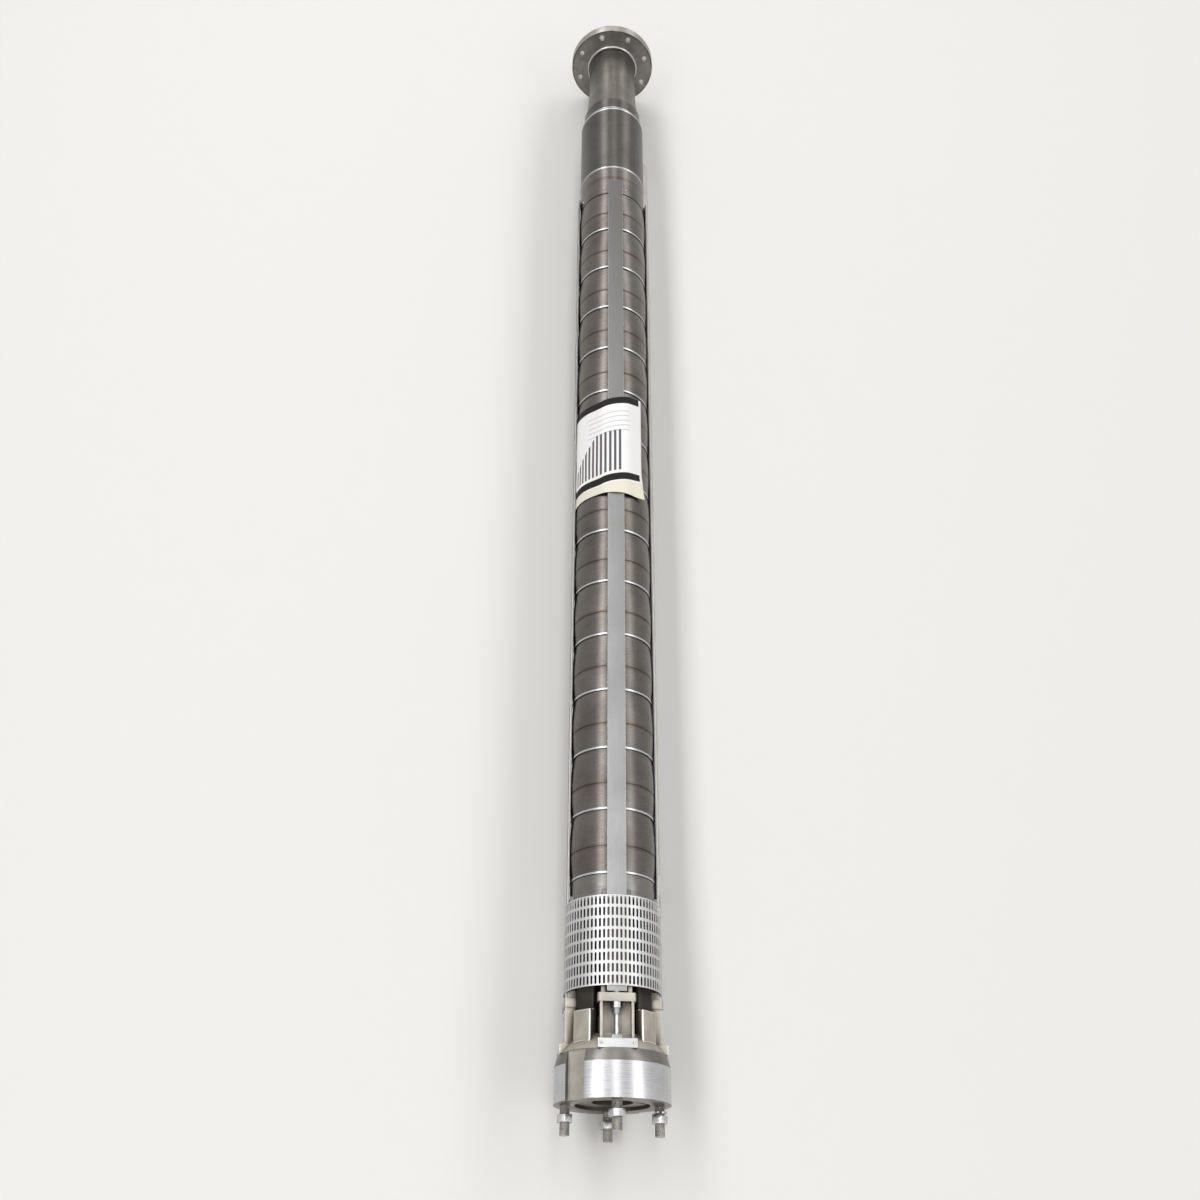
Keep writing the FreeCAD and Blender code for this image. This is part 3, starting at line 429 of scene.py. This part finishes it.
def repeated(name, single, finish, around=1, rows=1, pitch=0.0, first_turn=0.0):
    """Repeat a piece and keep the result as a plain mesh that rides on the casing."""
    holder = placed(name + "_holder", bpy.data.meshes.new(name + "_holder"))
    modifier = holder.modifiers.new("repeat", "NODES")
    modifier.node_group = repeat
    values = {"Piece": single, "Round": around, "Rows": rows, "Pitch": pitch * MM,
              "First Turn": math.radians(first_turn), "Finish": finish}
    for socket in repeat.interface.items_tree:
        if socket.in_out == "INPUT":
            modifier[socket.identifier] = values[socket.name]
    holder.update_tag()
    mesh = as_modified(holder)
    holder.modifiers.clear()
    bpy.data.objects.remove(holder)
    bpy.data.objects.remove(single)
    mesh.name = name
    shaded(mesh)
    made = placed(name, mesh)
    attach(made, "casing")
    print(name, "faces", len(mesh.polygons))
    return made


# %% [markdown]
# ## Chambers
#
# A chamber is a bowl, narrow at both rims and widest just below its middle, where two halves meet in a
# fine dark joint. At its lower rim a turned lip laps over the chamber before it, with a dark shadow line
# under the lip. The outline goes up the outside, over the top and down the inside.

# %% One chamber, repeated fourteen times
rim_radius, belly_radius, inner_radius, floor_bore = 91.5, 94.0, 85.5, 45.5
top_edge = first_edge + stage_pitch
lower_wall = curve((rim_radius, first_edge + 7), (93.2, first_edge + 32), (belly_radius, belly - 1.6), 6)
upper_wall = curve((belly_radius, belly + 1.0), (93.3, belly + 45), (rim_radius - 0.6, top_edge - 3), 8)
chamber_outline = (
    [(inner_radius, first_edge), (rim_radius - 1.6, first_edge), (rim_radius - 1.6, first_edge + 1.2)]
    + [(rim_radius + 0.6, first_edge + 2.0), (rim_radius + 1.0, first_edge + 3.0)]
    + [(rim_radius + 1.0, first_edge + 6.0)]
    + lower_wall
    + [(belly_radius - 1.2, belly - 1.2), (belly_radius - 1.2, belly + 0.4)]
    + upper_wall
    + [(rim_radius - 2.2, top_edge - 2.0), (rim_radius - 2.2, top_edge)]
    + [(floor_bore, top_edge), (floor_bore, top_edge - 12)]
    + [(inner_radius, top_edge - 12)]
)
chamber = piece("one_chamber", turned(chamber_outline), chamber_steel)
chambers = repeated("chamber_stack", chamber, chamber_steel, rows=stage_count,
                    pitch=stage_pitch)
# The outer faces of each lip take the bright turned finish, a painted highlight along the lip.
bright = finish_index(chambers, turned_steel)
for face in chambers.data.polygons:
    middle = face.center
    along = (middle.y / MM - first_edge) % stage_pitch
    if 1.0 < along < 6.5 and math.hypot(middle.x, middle.z) > (rim_radius + 0.1) * MM:
        face.material_index = bright
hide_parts("pump_chambers")

# %% [markdown]
# ## Strainer
#
# The strainer is a thin bright sheet with eight rows of upright slots, rolled into a sleeve round the
# suction cage. One cell of the sheet is a patch with one slot in it. The patch and the slot are two rings
# of equally many corners, and their row of rings runs over the outside, through the hole and back inside.

# %% A patch of sheet with one hole
def pierced(border, hole, outside, inside):
    """A bmesh patch between two rings of flat corners, with a skin on each side and the hole's wall."""
    row = ((border, outside), (hole, outside), (hole, inside), (border, inside))
    return joined([[lift(*corner) for corner in ring] for ring, lift in row])


strainer_outer, strainer_inner = 101.8, 100.6
slot_rows, slot_columns = 8, 72
row_pitch = (strainer_high - strainer_low) / slot_rows
half_cell = math.pi * strainer_outer / slot_columns
slot_half_wide, slot_half_high = 2.25, 9.1
slot_ring = []
for corner in range(12):
    turn = math.pi * (corner / 11 - 0.5)
    end_drop = slot_half_wide * (1 - math.cos(turn))
    slot_ring.append((slot_half_wide * math.sin(turn), slot_half_high - end_drop))
slot_ring += [(-across, -along) for across, along in slot_ring]
border_ring = []
for across, along in slot_ring:
    if abs(along) > slot_half_high - slot_half_wide + 0.01:
        stretch = half_cell / slot_half_wide
        border_ring.append((across * stretch, math.copysign(row_pitch / 2, along)))
    else:
        border_ring.append((math.copysign(half_cell, across), math.copysign(row_pitch / 2, along)))


def on_sleeve(radius):
    """Wrap a flat corner of the sheet round the strainer at this radius."""
    def wrap(across, along):
        turn = across / strainer_outer
        station = strainer_low + row_pitch / 2 + along
        return (radius * math.sin(turn), station, radius * math.cos(turn))
    return wrap


cell_shape = pierced(border_ring, slot_ring, on_sleeve(strainer_outer), on_sleeve(strainer_inner))
cell = piece("one_slot", cell_shape, strainer_steel)
strainer = repeated("strainer_sheet", cell, strainer_steel, around=slot_columns,
                    rows=slot_rows, pitch=row_pitch)
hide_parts("strainer")

# %% [markdown]
# ## Suction casting
#
# The suction casting is one investment casting: motor ring, sloping window sills, strap pockets, posts and
# crown. Cast edges are never knife sharp, so a copy of each solid is welded, cleaned of its flat triangles
# and given small rounded edges. The rounded faces get a brighter finish of their own, a painted highlight
# along the edges.

# %% A solid with rounded edges and a painted highlight on them
def softened(name, source, finish, width, edge_finish=None):
    """A copy of a solid with its triangles merged into faces and its edges rounded; the rounded faces take
    the edge finish, a painted highlight where it is brighter.
    """
    shape = bmesh.new()
    shape.from_mesh(solids[source].data)
    bmesh.ops.remove_doubles(shape, verts=shape.verts, dist=2e-5)
    bmesh.ops.dissolve_limit(shape, angle_limit=math.radians(2), verts=shape.verts, edges=shape.edges)
    mesh = bpy.data.meshes.new(name)
    shape.to_mesh(mesh)
    shape.free()
    made = placed(name, mesh)
    mesh.materials.append(finish)
    mesh.materials.append(edge_finish or finish)
    edges = made.modifiers.new("edges", "BEVEL")
    edges.width = width * MM
    edges.segments = 2
    edges.limit_method = "ANGLE"
    edges.angle_limit = math.radians(30)
    edges.material = 1
    rounded = as_modified(made)
    made.modifiers.clear()
    made.data = rounded
    bpy.data.meshes.remove(mesh)
    rounded.name = name
    shaded(rounded, 38)
    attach(made, "casing")
    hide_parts(source)
    print(name, "faces", len(rounded.polygons))
    return made


# %% [markdown]
# The faces that look towards the axis get a dark finish, painted shade for the shade inside the casting.
# Which way a face looks is the dot product of its normal and its own place.

# %% Painted shade on the faces inside the casting
def stain_inside(made, limit):
    """Give faces that look towards the axis, and lie within a radius, the dark finish of painted shade."""
    stained = finish_index(made, inside_steel)
    stained_faces = 0
    for face in made.data.polygons:
        outward = Vector((face.center.x, 0, face.center.z))
        towards_axis = outward.dot(face.normal) < 0.2 * outward.length
        if outward.length < limit * MM and towards_axis and abs(face.normal.y) < 0.7:
            face.material_index = stained
            stained_faces += 1
    # It counts the faces that got painted shade.
    print(made.name, "painted shade faces", stained_faces)


# %% Cuts across the axis, where a finish changes
def cut_across(made, stations):
    """Cut a piece's faces at planes across the axis, so that each part can have its own finish."""
    shape = bmesh.new()
    shape.from_mesh(made.data)
    for station in stations:
        parts = shape.verts[:] + shape.edges[:] + shape.faces[:]
        bmesh.ops.bisect_plane(shape, geom=parts, plane_co=(0, station * MM, 0), plane_no=(0, 1, 0))
    shape.to_mesh(made.data)
    shape.free()


# %% The motor ring, blasted above and turned bright below
motor_ring = softened("dressed_motor_flange", "motor_flange", cast_steel, 1.2, worn_steel)
bright = finish_index(motor_ring, turned_steel)
ground = finish_index(motor_ring, cone_steel)
shady = finish_index(motor_ring, under_steel)
bright_top, bright_reach, cone_top, cone_reach, face_depth = 70.5, 116.5, 97.0, 109.0, 30.0
for face in motor_ring.data.polygons:
    middle = face.center
    reach = math.hypot(middle.x, middle.z)
    if middle.y < bright_top * MM and reach > bright_reach * MM:
        face.material_index = bright
    elif middle.y < cone_top * MM and reach > cone_reach * MM:
        face.material_index = ground
    elif middle.y < face_depth * MM:
        face.material_index = shady
stain_inside(motor_ring, 92.0)

# %% Pockets and posts, in the dark under the strainer
pockets = softened("dressed_strap_pockets", "strap_pockets", cast_steel, 2.4, worn_steel)
stain_inside(pockets, 78.5)
posts = softened("dressed_cage_posts", "cage_posts", cast_steel, 2.8, worn_steel)
stain_inside(posts, 90.0)
shade_high = 400.0
for made, shade_low in ((pockets, 221.0), (posts, 176.5)):
    cut_across(made, (shade_low, shade_high))
    # Between these stations the pockets and posts get the dark inside finish, painted shade under the
    # strainer.
    stained = finish_index(made, inside_steel)
    for face in made.data.polygons:
        if shade_low * MM < face.center.y < shade_high * MM:
            face.material_index = stained
ground = finish_index(pockets, cone_steel)
for face in pockets.data.polygons:
    if face.center.y > shade_high * MM:
        face.material_index = ground

# %% Crown, studs, nuts, straps and sheet parts
softened("dressed_cage_crown", "cage_crown", cone_steel, 0.6)
softened("dressed_motor_studs", "motor_studs", thread_steel, 0.5)
# The rounded edges of the nuts, straps, cover plates and guards take a brighter finish, a painted highlight:
# the bright turned finish on the nuts and the light edge finish on the rest.
for label in ("strap_nuts", "motor_nuts"):
    softened("dressed_" + label, label, bolt_steel, 0.8, turned_steel)
for label in ("strap_top", "strap_right", "strap_bottom", "strap_left"):
    softened("dressed_" + label, label, strap_steel, 0.6, worn_steel)
softened("dressed_cover_plates", "stud_cover_plates", strainer_steel, 0.6, worn_steel)
for label in ("cable_guard_lower", "cable_guard_upper"):
    softened("dressed_" + label, label, guard_steel, 0.5, worn_steel)

# %% [markdown]
# Between the first chamber and the strainer the casting shows as a plain round band, ground along its
# length. It closes the gap above the windows.

# %% The band above the windows
band = turned([(87.0, 403.0), (91.3, 403.0), (91.3, 453.5), (90.6, 454.6), (87.0, 454.6)])
piece("ground_band", band, cone_steel, "cast_steel")

# %% [markdown]
# ## Discharge end
#
# The valve casing is a plain tube whose shoulder is rounded down to a collar. A bright weld ring joins it
# to the last chamber, and a dark groove parts the collar from the reducer. The reducer flares in a smooth
# curve down to the pipe, which is welded into the flange.

# %% Valve casing and reducer
casing_low, shoulder, collar_top, flange_low, flange_top = 2573.0, 2822.0, 2880.0, 3129.0, 3153.0
casing_radius, collar_radius, pipe_radius, pipe_bore = 92.0, 84.0, 69.85, 64.85
weld_ring = [(casing_radius, casing_low + 1), (casing_radius + 0.9, casing_low + 2),
             (casing_radius + 0.9, casing_low + 5), (casing_radius, casing_low + 6)]
round_shoulder = curve((casing_radius, shoulder - 1), (90.6, shoulder + 8), (84.6, shoulder + 14), 8)
casing_outline = (
    [(87.0, casing_low), (91.2, casing_low)] + weld_ring + round_shoulder
    + [(collar_radius, collar_top - 2), (82.0, collar_top), (74.0, collar_top), (74.0, shoulder - 4)]
    + [(87.0, shoulder - 4)]
)
casing = piece("dressed_valve_casing", turned(casing_outline), casing_steel, "valve_steel", angle=40)
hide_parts("valve_casing")
flare = curve((79.5, collar_top + 4), (73.5, collar_top + 60), (pipe_radius, collar_top + 152), 12)
bead = curve((pipe_radius, flange_low - 7), (73.6, flange_low - 6.0), (75.85, flange_low), 5)
reducer_outline = (
    [(68.0, collar_top), (77.5, collar_top), (77.5, collar_top + 2)] + flare
    + bead
    + [(pipe_bore, flange_low), (pipe_bore, collar_top + 152), (68.0, collar_top + 86)]
)
reducer = piece("reducer_and_pipe", turned(reducer_outline), neck_steel, "pipe_steel", angle=40)
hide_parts("discharge_reducer")

# %% [markdown]
# Four fine rings catch the light at this end: the weld to the last chamber, the edges of the round
# shoulder and the weld at the flange. Each is a low bead, turned about the axis, whose bright finish is a
# painted highlight.

# %% The bright rings
ring_places = (("weld_ring", casing_radius, casing_low + 3.5, 1.1, 3.2),
               ("shoulder_ring", casing_radius - 0.4, shoulder + 1, 0.9, 4.5),
               ("collar_ring", collar_radius, shoulder + 17, 1.4, 3.0),
               ("flange_weld_ring", 75.0, flange_low - 3.5, 2.4, 3.5))
for name, radius, station, rise, half_long in ring_places:
    bead_outline = curve((radius - 0.6, station - half_long), (radius + rise, station),
                         (radius - 0.6, station + half_long), 6)
    bead_outline += [(radius - 2.0, station + half_long), (radius - 2.0, station - half_long)]
    piece(name, turned(bead_outline), turned_steel, "pipe_steel")

# %% [markdown]
# The flange is eight equal wedges, each with one bolt hole. A wedge is pierced the same way as a patch of
# the strainer, with two flat rings of corners on both faces of the flange, and then goes round the axis.

# %% The flange from eight pierced wedges
flange_radius, bolt_circle, hole_radius, hole_count = 125.0, 105.0, 9.0, 8
wedge_corners = 32
wedge_turn = math.tau / hole_count
wedge_ring = []
hole_ring = []
for corner in range(wedge_corners):
    direction = math.tau * (corner + 0.5) / wedge_corners
    square = max(abs(math.sin(direction)), abs(math.cos(direction)))
    turn = wedge_turn / 2 * math.sin(direction) / square
    share_out = math.cos(direction) / square
    edge = flange_radius if share_out > 0 else pipe_bore
    radius = bolt_circle + (edge - bolt_circle) * abs(share_out)
    wedge_ring.append((radius * math.sin(turn), radius * math.cos(turn)))
    hole_ring.append((hole_radius * math.sin(direction), bolt_circle + hole_radius * math.cos(direction)))
wedge_shape = pierced(wedge_ring, hole_ring, lambda across, outward: (across, flange_low, outward),
                      lambda across, outward: (across, flange_top, outward))
wedge = piece("one_wedge", wedge_shape, pipe_steel)
flange = repeated("dressed_flange", wedge, pipe_steel, around=hole_count,
                  first_turn=180 / hole_count)

# %% The rim and the bore of the flange
rim = turned([(flange_radius, flange_low + 0.8), (flange_radius - 0.8, flange_low),
              (flange_radius - 3, flange_low), (flange_radius - 3, flange_top),
              (flange_radius - 0.8, flange_top), (flange_radius, flange_top - 0.8)])
rim_piece = piece("flange_rim", rim, pipe_steel, "pipe_steel")
bore = turned([(pipe_bore, flange_low), (pipe_bore + 2, flange_low), (pipe_bore + 2, flange_top),
               (pipe_bore, flange_top)])
bore_piece = piece("flange_bore", bore, pipe_steel, "pipe_steel")
for made in (flange, rim_piece, bore_piece):
    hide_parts("discharge_flange")

# %% [markdown]
# ## Small fasteners
#
# Two small screws hold each cover plate, and a pair sits beside the head of each strap. A small screw is
# a low domed head with a round socket. Each is drawn once for twelve o'clock and repeated four times.

# %% A screw head that points outward
def screw_head(across, station, height, radius=3.2, rise=2.2, corners=18):
    """A domed head on a surface at this distance from the axis."""
    profile = [(radius, 0.0), (radius, rise * 0.5), (radius * 0.75, rise * 0.9), (radius * 0.45, rise),
               (radius * 0.42, rise * 0.4)]
    rings = []
    for reach, lift in profile:
        turns = [math.tau * corner / corners for corner in range(corners)]
        rings.append([(across + reach * math.cos(turn), station + reach * math.sin(turn), height + lift)
                      for turn in turns])
    return joined(rings, capped=True)


screw_places = (("plate_screws_left", -33, 104, 109.9), ("plate_screws_right", 33, 104, 109.9),
                ("strap_screws_left", -31, 2490, 85.9), ("strap_screws_right", 31, 2490, 85.9))
for name, across, station, height in screw_places:
    single = piece("one_" + name, screw_head(across, station, height), bolt_steel)
    repeated(name, single, bolt_steel, around=4)

# %% [markdown]
# Below each strap nut the strap's rod runs on down the pocket to a hexagon head over the motor stud. Both
# are round or hexagonal bars along the axis, so one helper makes them from rings of corners.

# %% The rods and heads in the strap pockets
def bar_along(profile, height, corners):
    """A bar along the axis, at this distance above it, from rows of radius and station."""
    turns = [math.tau * (corner + 0.5) / corners for corner in range(corners)]
    rings = [[(radius * math.cos(turn), station, height + radius * math.sin(turn)) for turn in turns]
             for radius, station in profile]
    return joined(rings, capped=True)


rod_height = 90.5
rod_profile = [(4.6, 122.5), (4.6, 162.0), (6.8, 163.2)]
head_profile = [(10.6, 107.4), (12.0, 108.4), (12.0, 122.0), (10.6, 123.0)]
for name, profile, corners in (("strap_rods", rod_profile, 20), ("rod_heads", head_profile, 6)):
    single = piece("one_" + name, bar_along(profile, rod_height, corners), bolt_steel)
    repeated(name, single, bolt_steel, around=4)

# %% [markdown]
# A spring washer hangs askew on the stud at three o'clock, above its nut. It is a split ring of flat
# section that rises by most of its own thickness in one turn, and it is tilted a little, as it hangs in
# the photo.

# %% The spring washer
washer_inner, washer_outer, washer_thick, washer_rise, washer_steps = 10.6, 15.2, 3.2, 2.4, 56
washer_gap, washer_sweep = 8, 344
tilt_washer = Matrix.Rotation(math.radians(11), 3, "Z") @ Matrix.Rotation(math.radians(-6), 3, "X")
washer_place = Vector((95.25, -13.4, 0.0))
washer_section = ((washer_inner, -washer_thick / 2), (washer_outer, -washer_thick / 2),
                  (washer_outer, washer_thick / 2), (washer_inner, washer_thick / 2))
rings = []
for step in range(washer_steps + 1):
    turn = math.radians(washer_gap + washer_sweep * step / washer_steps)
    rise = washer_rise * (step / washer_steps - 0.5)
    corners = [Vector((reach * math.sin(turn), lift + rise, reach * math.cos(turn)))
               for reach, lift in washer_section]
    rings.append([washer_place + tilt_washer @ corner for corner in corners])
piece("spring_washer", joined(rings, capped=True), bolt_steel, "bolt_steel")

# %% [markdown]
# The valve's spring is wound from round wire, with its last turns lying together at both ends. It stands
# between the disc and the stem guide.

# %% The coil of the valve spring
sleeve_low, sleeve_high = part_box("valve_spring")
wire_radius, coil_radius, coil_turns, end_turns, wire_sides, steps_per_turn = 1.5, 12.0, 9.0, 1.0, 8, 20
coil_low, coil_high = sleeve_low.y / MM + wire_radius, sleeve_high.y / MM - wire_radius
end_rise = 2 * wire_radius * end_turns
rings = []
for step in range(int(coil_turns * steps_per_turn) + 1):
    turns = step / steps_per_turn
    open_turns = min(max(turns, end_turns), coil_turns - end_turns) - end_turns
    open_share = open_turns / (coil_turns - 2 * end_turns)
    wound = min(turns, end_turns) + max(turns - (coil_turns - end_turns), 0.0)
    rise = wound * 2 * wire_radius + open_share * (coil_high - coil_low - 2 * end_rise)
    turn = turns * math.tau
    ring = []
    for side in range(wire_sides):
        lean_out = side * math.tau / wire_sides
        reach = coil_radius + wire_radius * math.cos(lean_out)
        height = coil_low + rise + wire_radius * math.sin(lean_out)
        ring.append((reach * math.sin(turn), height, reach * math.cos(turn)))
    rings.append(ring)
coil = piece("valve_coil_spring", joined(rings, capped=True), bolt_steel, "inner_steel", angle=60)
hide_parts("valve_spring")
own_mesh(coil)

# %% [markdown]
# ## The paper on the chambers
#
# A copy sheet lies over the front strap, more to the left than to the right, and is taped to the chambers.
# Paper bends in one direction only, so it bows smoothly over the strap and then follows the chambers. The
# sheet is one grid of quads, and its bands, bars and grey rules are plain generic faces of that grid.

# %% The shape of the sheet
paper_low, paper_long, paper_wide, paper_shift, paper_skew = 1426.0, 286.0, 206.0, -28.0, 30.0
flat_radius, bend_radius = 94.9, 95.5
strap_bow, bow_degrees, corner_lift, ripple_height = 6.9, 26.0, 10.0, 0.25
skew_side, skew_end = 0.45, 0.09
across_steps, along_steps = 72, 96


def paper_radius(turn, side_share, along):
    """Distance of the sheet from the axis: bowed over the strap, with its lower right corner lifted."""
    bow = strap_bow * math.exp(-(abs(math.degrees(turn)) / bow_degrees) ** 4)
    ripple = ripple_height * math.sin(along * 17 + turn * 7)
    lift = max(0.0, 1 - math.hypot((1 - side_share) * 4.0, along * 5.0))
    return flat_radius + bow + ripple + corner_lift * lift * lift


shape = bmesh.new()
grid = []
for row_number in range(along_steps + 1):
    along = row_number / along_steps
    line = []
    for column in range(across_steps + 1):
        side_share = column / across_steps
        turn = ((side_share - 0.5) * paper_wide + paper_shift) / bend_radius
        radius = paper_radius(turn, side_share, along) * MM
        skew = paper_skew * max(0.0, side_share - skew_side) / (1 - skew_side) * min(1.0, along / skew_end)
        station = (paper_low + paper_long * along + skew) * MM
        line.append(shape.verts.new((radius * math.sin(turn), station, radius * math.cos(turn))))
    grid.append(line)

# %% Its bands, bars and rules
paper_finishes = (paper_white, paper_cream, paper_ink, paper_bar, paper_grey)
white, cream, ink, bar, grey = range(len(paper_finishes))


def paper_part(side, along):
    """The finish of a spot on the sheet, as its place in the list above."""
    if along < 0.085:
        return cream
    if 0.09 < along < 0.165 or along > 0.925:
        return ink if side < 0.96 else white
    bar_top = 0.3 + 0.34 * min(side, 0.4) / 0.4
    if 0.2 < along < bar_top and 0.03 < side < 0.72 and (side * 18) % 1 < 0.55:
        return bar
    if 0.62 < along < 0.88 and 0.28 < side < 0.8 and int(along * along_steps) % 5 == 0:
        return grey
    return white


for row_number in range(along_steps):
    for column in range(across_steps):
        face = shape.faces.new((grid[row_number][column], grid[row_number][column + 1],
                                grid[row_number + 1][column + 1], grid[row_number + 1][column]))
        face.material_index = paper_part((column + 0.5) / across_steps, (row_number + 0.5) / along_steps)
mesh = bpy.data.meshes.new("paper_sheet")
bmesh.ops.recalc_face_normals(shape, faces=shape.faces)
shape.to_mesh(mesh)
shape.free()
mesh.shade_smooth()
for finish in paper_finishes:
    mesh.materials.append(finish)
paper = placed("paper_sheet", mesh)
thick = paper.modifiers.new("thickness", "SOLIDIFY")
thick.thickness = 0.25 * MM
thick.offset = 1.0
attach(paper, "casing")
print("paper faces", len(mesh.polygons))

# %% [markdown]
# ## Floor, light and camera
#
# The floor is pale and plain, and the far floor fades into the background. The world is a pale grey
# backdrop that gives only a little light. Three long soft lamps hang high over the pump and parallel to
# it. Round steel shows each of them as a bright band along the pump, as it shows the lamps of a hall, and
# flat steel shows the one in the middle. A fourth lamp lights the motor end.

# %% Floor
floor_low = frame_low.z
shape = bmesh.new()
bmesh.ops.create_grid(shape, x_segments=1, y_segments=1, size=12.0)
mesh = bpy.data.meshes.new("floor")
shape.to_mesh(mesh)
shape.free()
floor = placed("floor", mesh)
floor.location = (0, 1.5, floor_low - 0.0002)
floor_finish = plain("pale_floor", "#d9d8d5", 0.7, 0.2, 80)
mesh.materials.append(floor_finish)

# %% The far floor fades into the background
def seen_directly(tree):
    """1 for rays that show a surface as it is, straight or in metal and glass, and 0 for light that falls."""
    rays = node(tree, "ShaderNodeLightPath").outputs
    straight = maths(tree, "MAXIMUM", rays["Is Camera Ray"], rays["Is Glossy Ray"])
    return maths(tree, "MAXIMUM", straight, rays["Is Transmission Ray"])


background_tone, background_level, world_light = "#f4f3f1", 0.95, 0.34
fade_from, fade_to = 2.2, 5.5
tree = floor_finish.node_tree
away = node(tree, "ShaderNodeVectorMath", {"operation": "LENGTH"}, i0=place_in(tree)).outputs["Value"]
far = ranged(tree, away, fade_from, fade_to, steps="SMOOTHSTEP")
glow = node(tree, "ShaderNodeEmission", Color=colour(background_tone), Strength=background_level)
faded = node(tree, "ShaderNodeMixShader", i0=maths(tree, "MULTIPLY", far, seen_directly(tree)),
             i1=tree.nodes["Principled BSDF"].outputs["BSDF"], i2=glow.outputs["Emission"])
tree.links.new(faded.outputs["Shader"], tree.nodes["Material Output"].inputs["Surface"])

# %% World and lamps
world = bpy.data.worlds.new("studio")
scene.world = world
world.use_nodes = True
tree = world.node_tree
sky = tree.nodes["Background"]
sky.inputs["Color"].default_value = colour(background_tone)
level = ranged(tree, seen_directly(tree), 0.0, 1.0, world_light, background_level)
tree.links.new(level, sky.inputs["Strength"])
lamps = (("lamp_left", (-3.3, 5.0, 4.9), (0, 5.0, 0), 430, 1.5, 20.0),
         ("lamp_top", (0.2, 5.0, 5.6), (0, 5.0, 0), 170, 1.0, 20.0),
         ("lamp_right", (4.2, 5.0, 4.2), (0, 5.0, 0), 310, 1.8, 20.0),
         ("lamp_front", (-0.9, -3.8, 2.2), (0, 0.1, 0), 26, 1.6, 2.6))
for name, spot, aim, power, width, length in lamps:
    light = bpy.data.lights.new(name, "AREA")
    light.shape = "RECTANGLE"
    light.size, light.size_y = length, width
    light.energy = power
    lamp = placed(name, light)
    lamp.location = spot
    direction = Vector(spot) - Vector(aim)
    lamp.rotation_euler = direction.to_track_quat("Z", "Y").to_euler()

# %% [markdown]
# The camera looks down on the motor end from above, a little to the left, so that the pump runs away to
# the top of the picture. Its place and tilt were worked out from how the stage pitch shrinks with distance.

# %% Camera
tilt, turn, lean = math.radians(63.79), math.radians(0.04), math.radians(0.23)
strap_roll = math.radians(-5.0)
sensor_width, picture_side, focal_length, picture_shift = 36.0, 1200.0, 1206.6, 108.0
camera_data = bpy.data.cameras.new("camera")
camera_data.sensor_width = sensor_width
camera_data.lens = sensor_width * focal_length / picture_side
camera_data.shift_y = picture_shift / picture_side
camera_data.clip_start, camera_data.clip_end = 0.05, 50
camera = placed("camera", camera_data)
look = Matrix(((1, 0, 0), (0, math.sin(tilt), -math.cos(tilt)), (0, math.cos(tilt), math.sin(tilt)))).to_4x4()
aim = Matrix.Rotation(turn, 4, "Z") @ look @ Matrix.Rotation(lean, 4, "Z")
stand = Matrix.Translation(Vector((-27.5 * MM, -351.4 * MM, 2515.4 * MM)))
camera.matrix_world = Matrix.Rotation(strap_roll, 4, "Y") @ stand @ aim
scene.camera = camera
scene.view_settings.view_transform = "Standard"
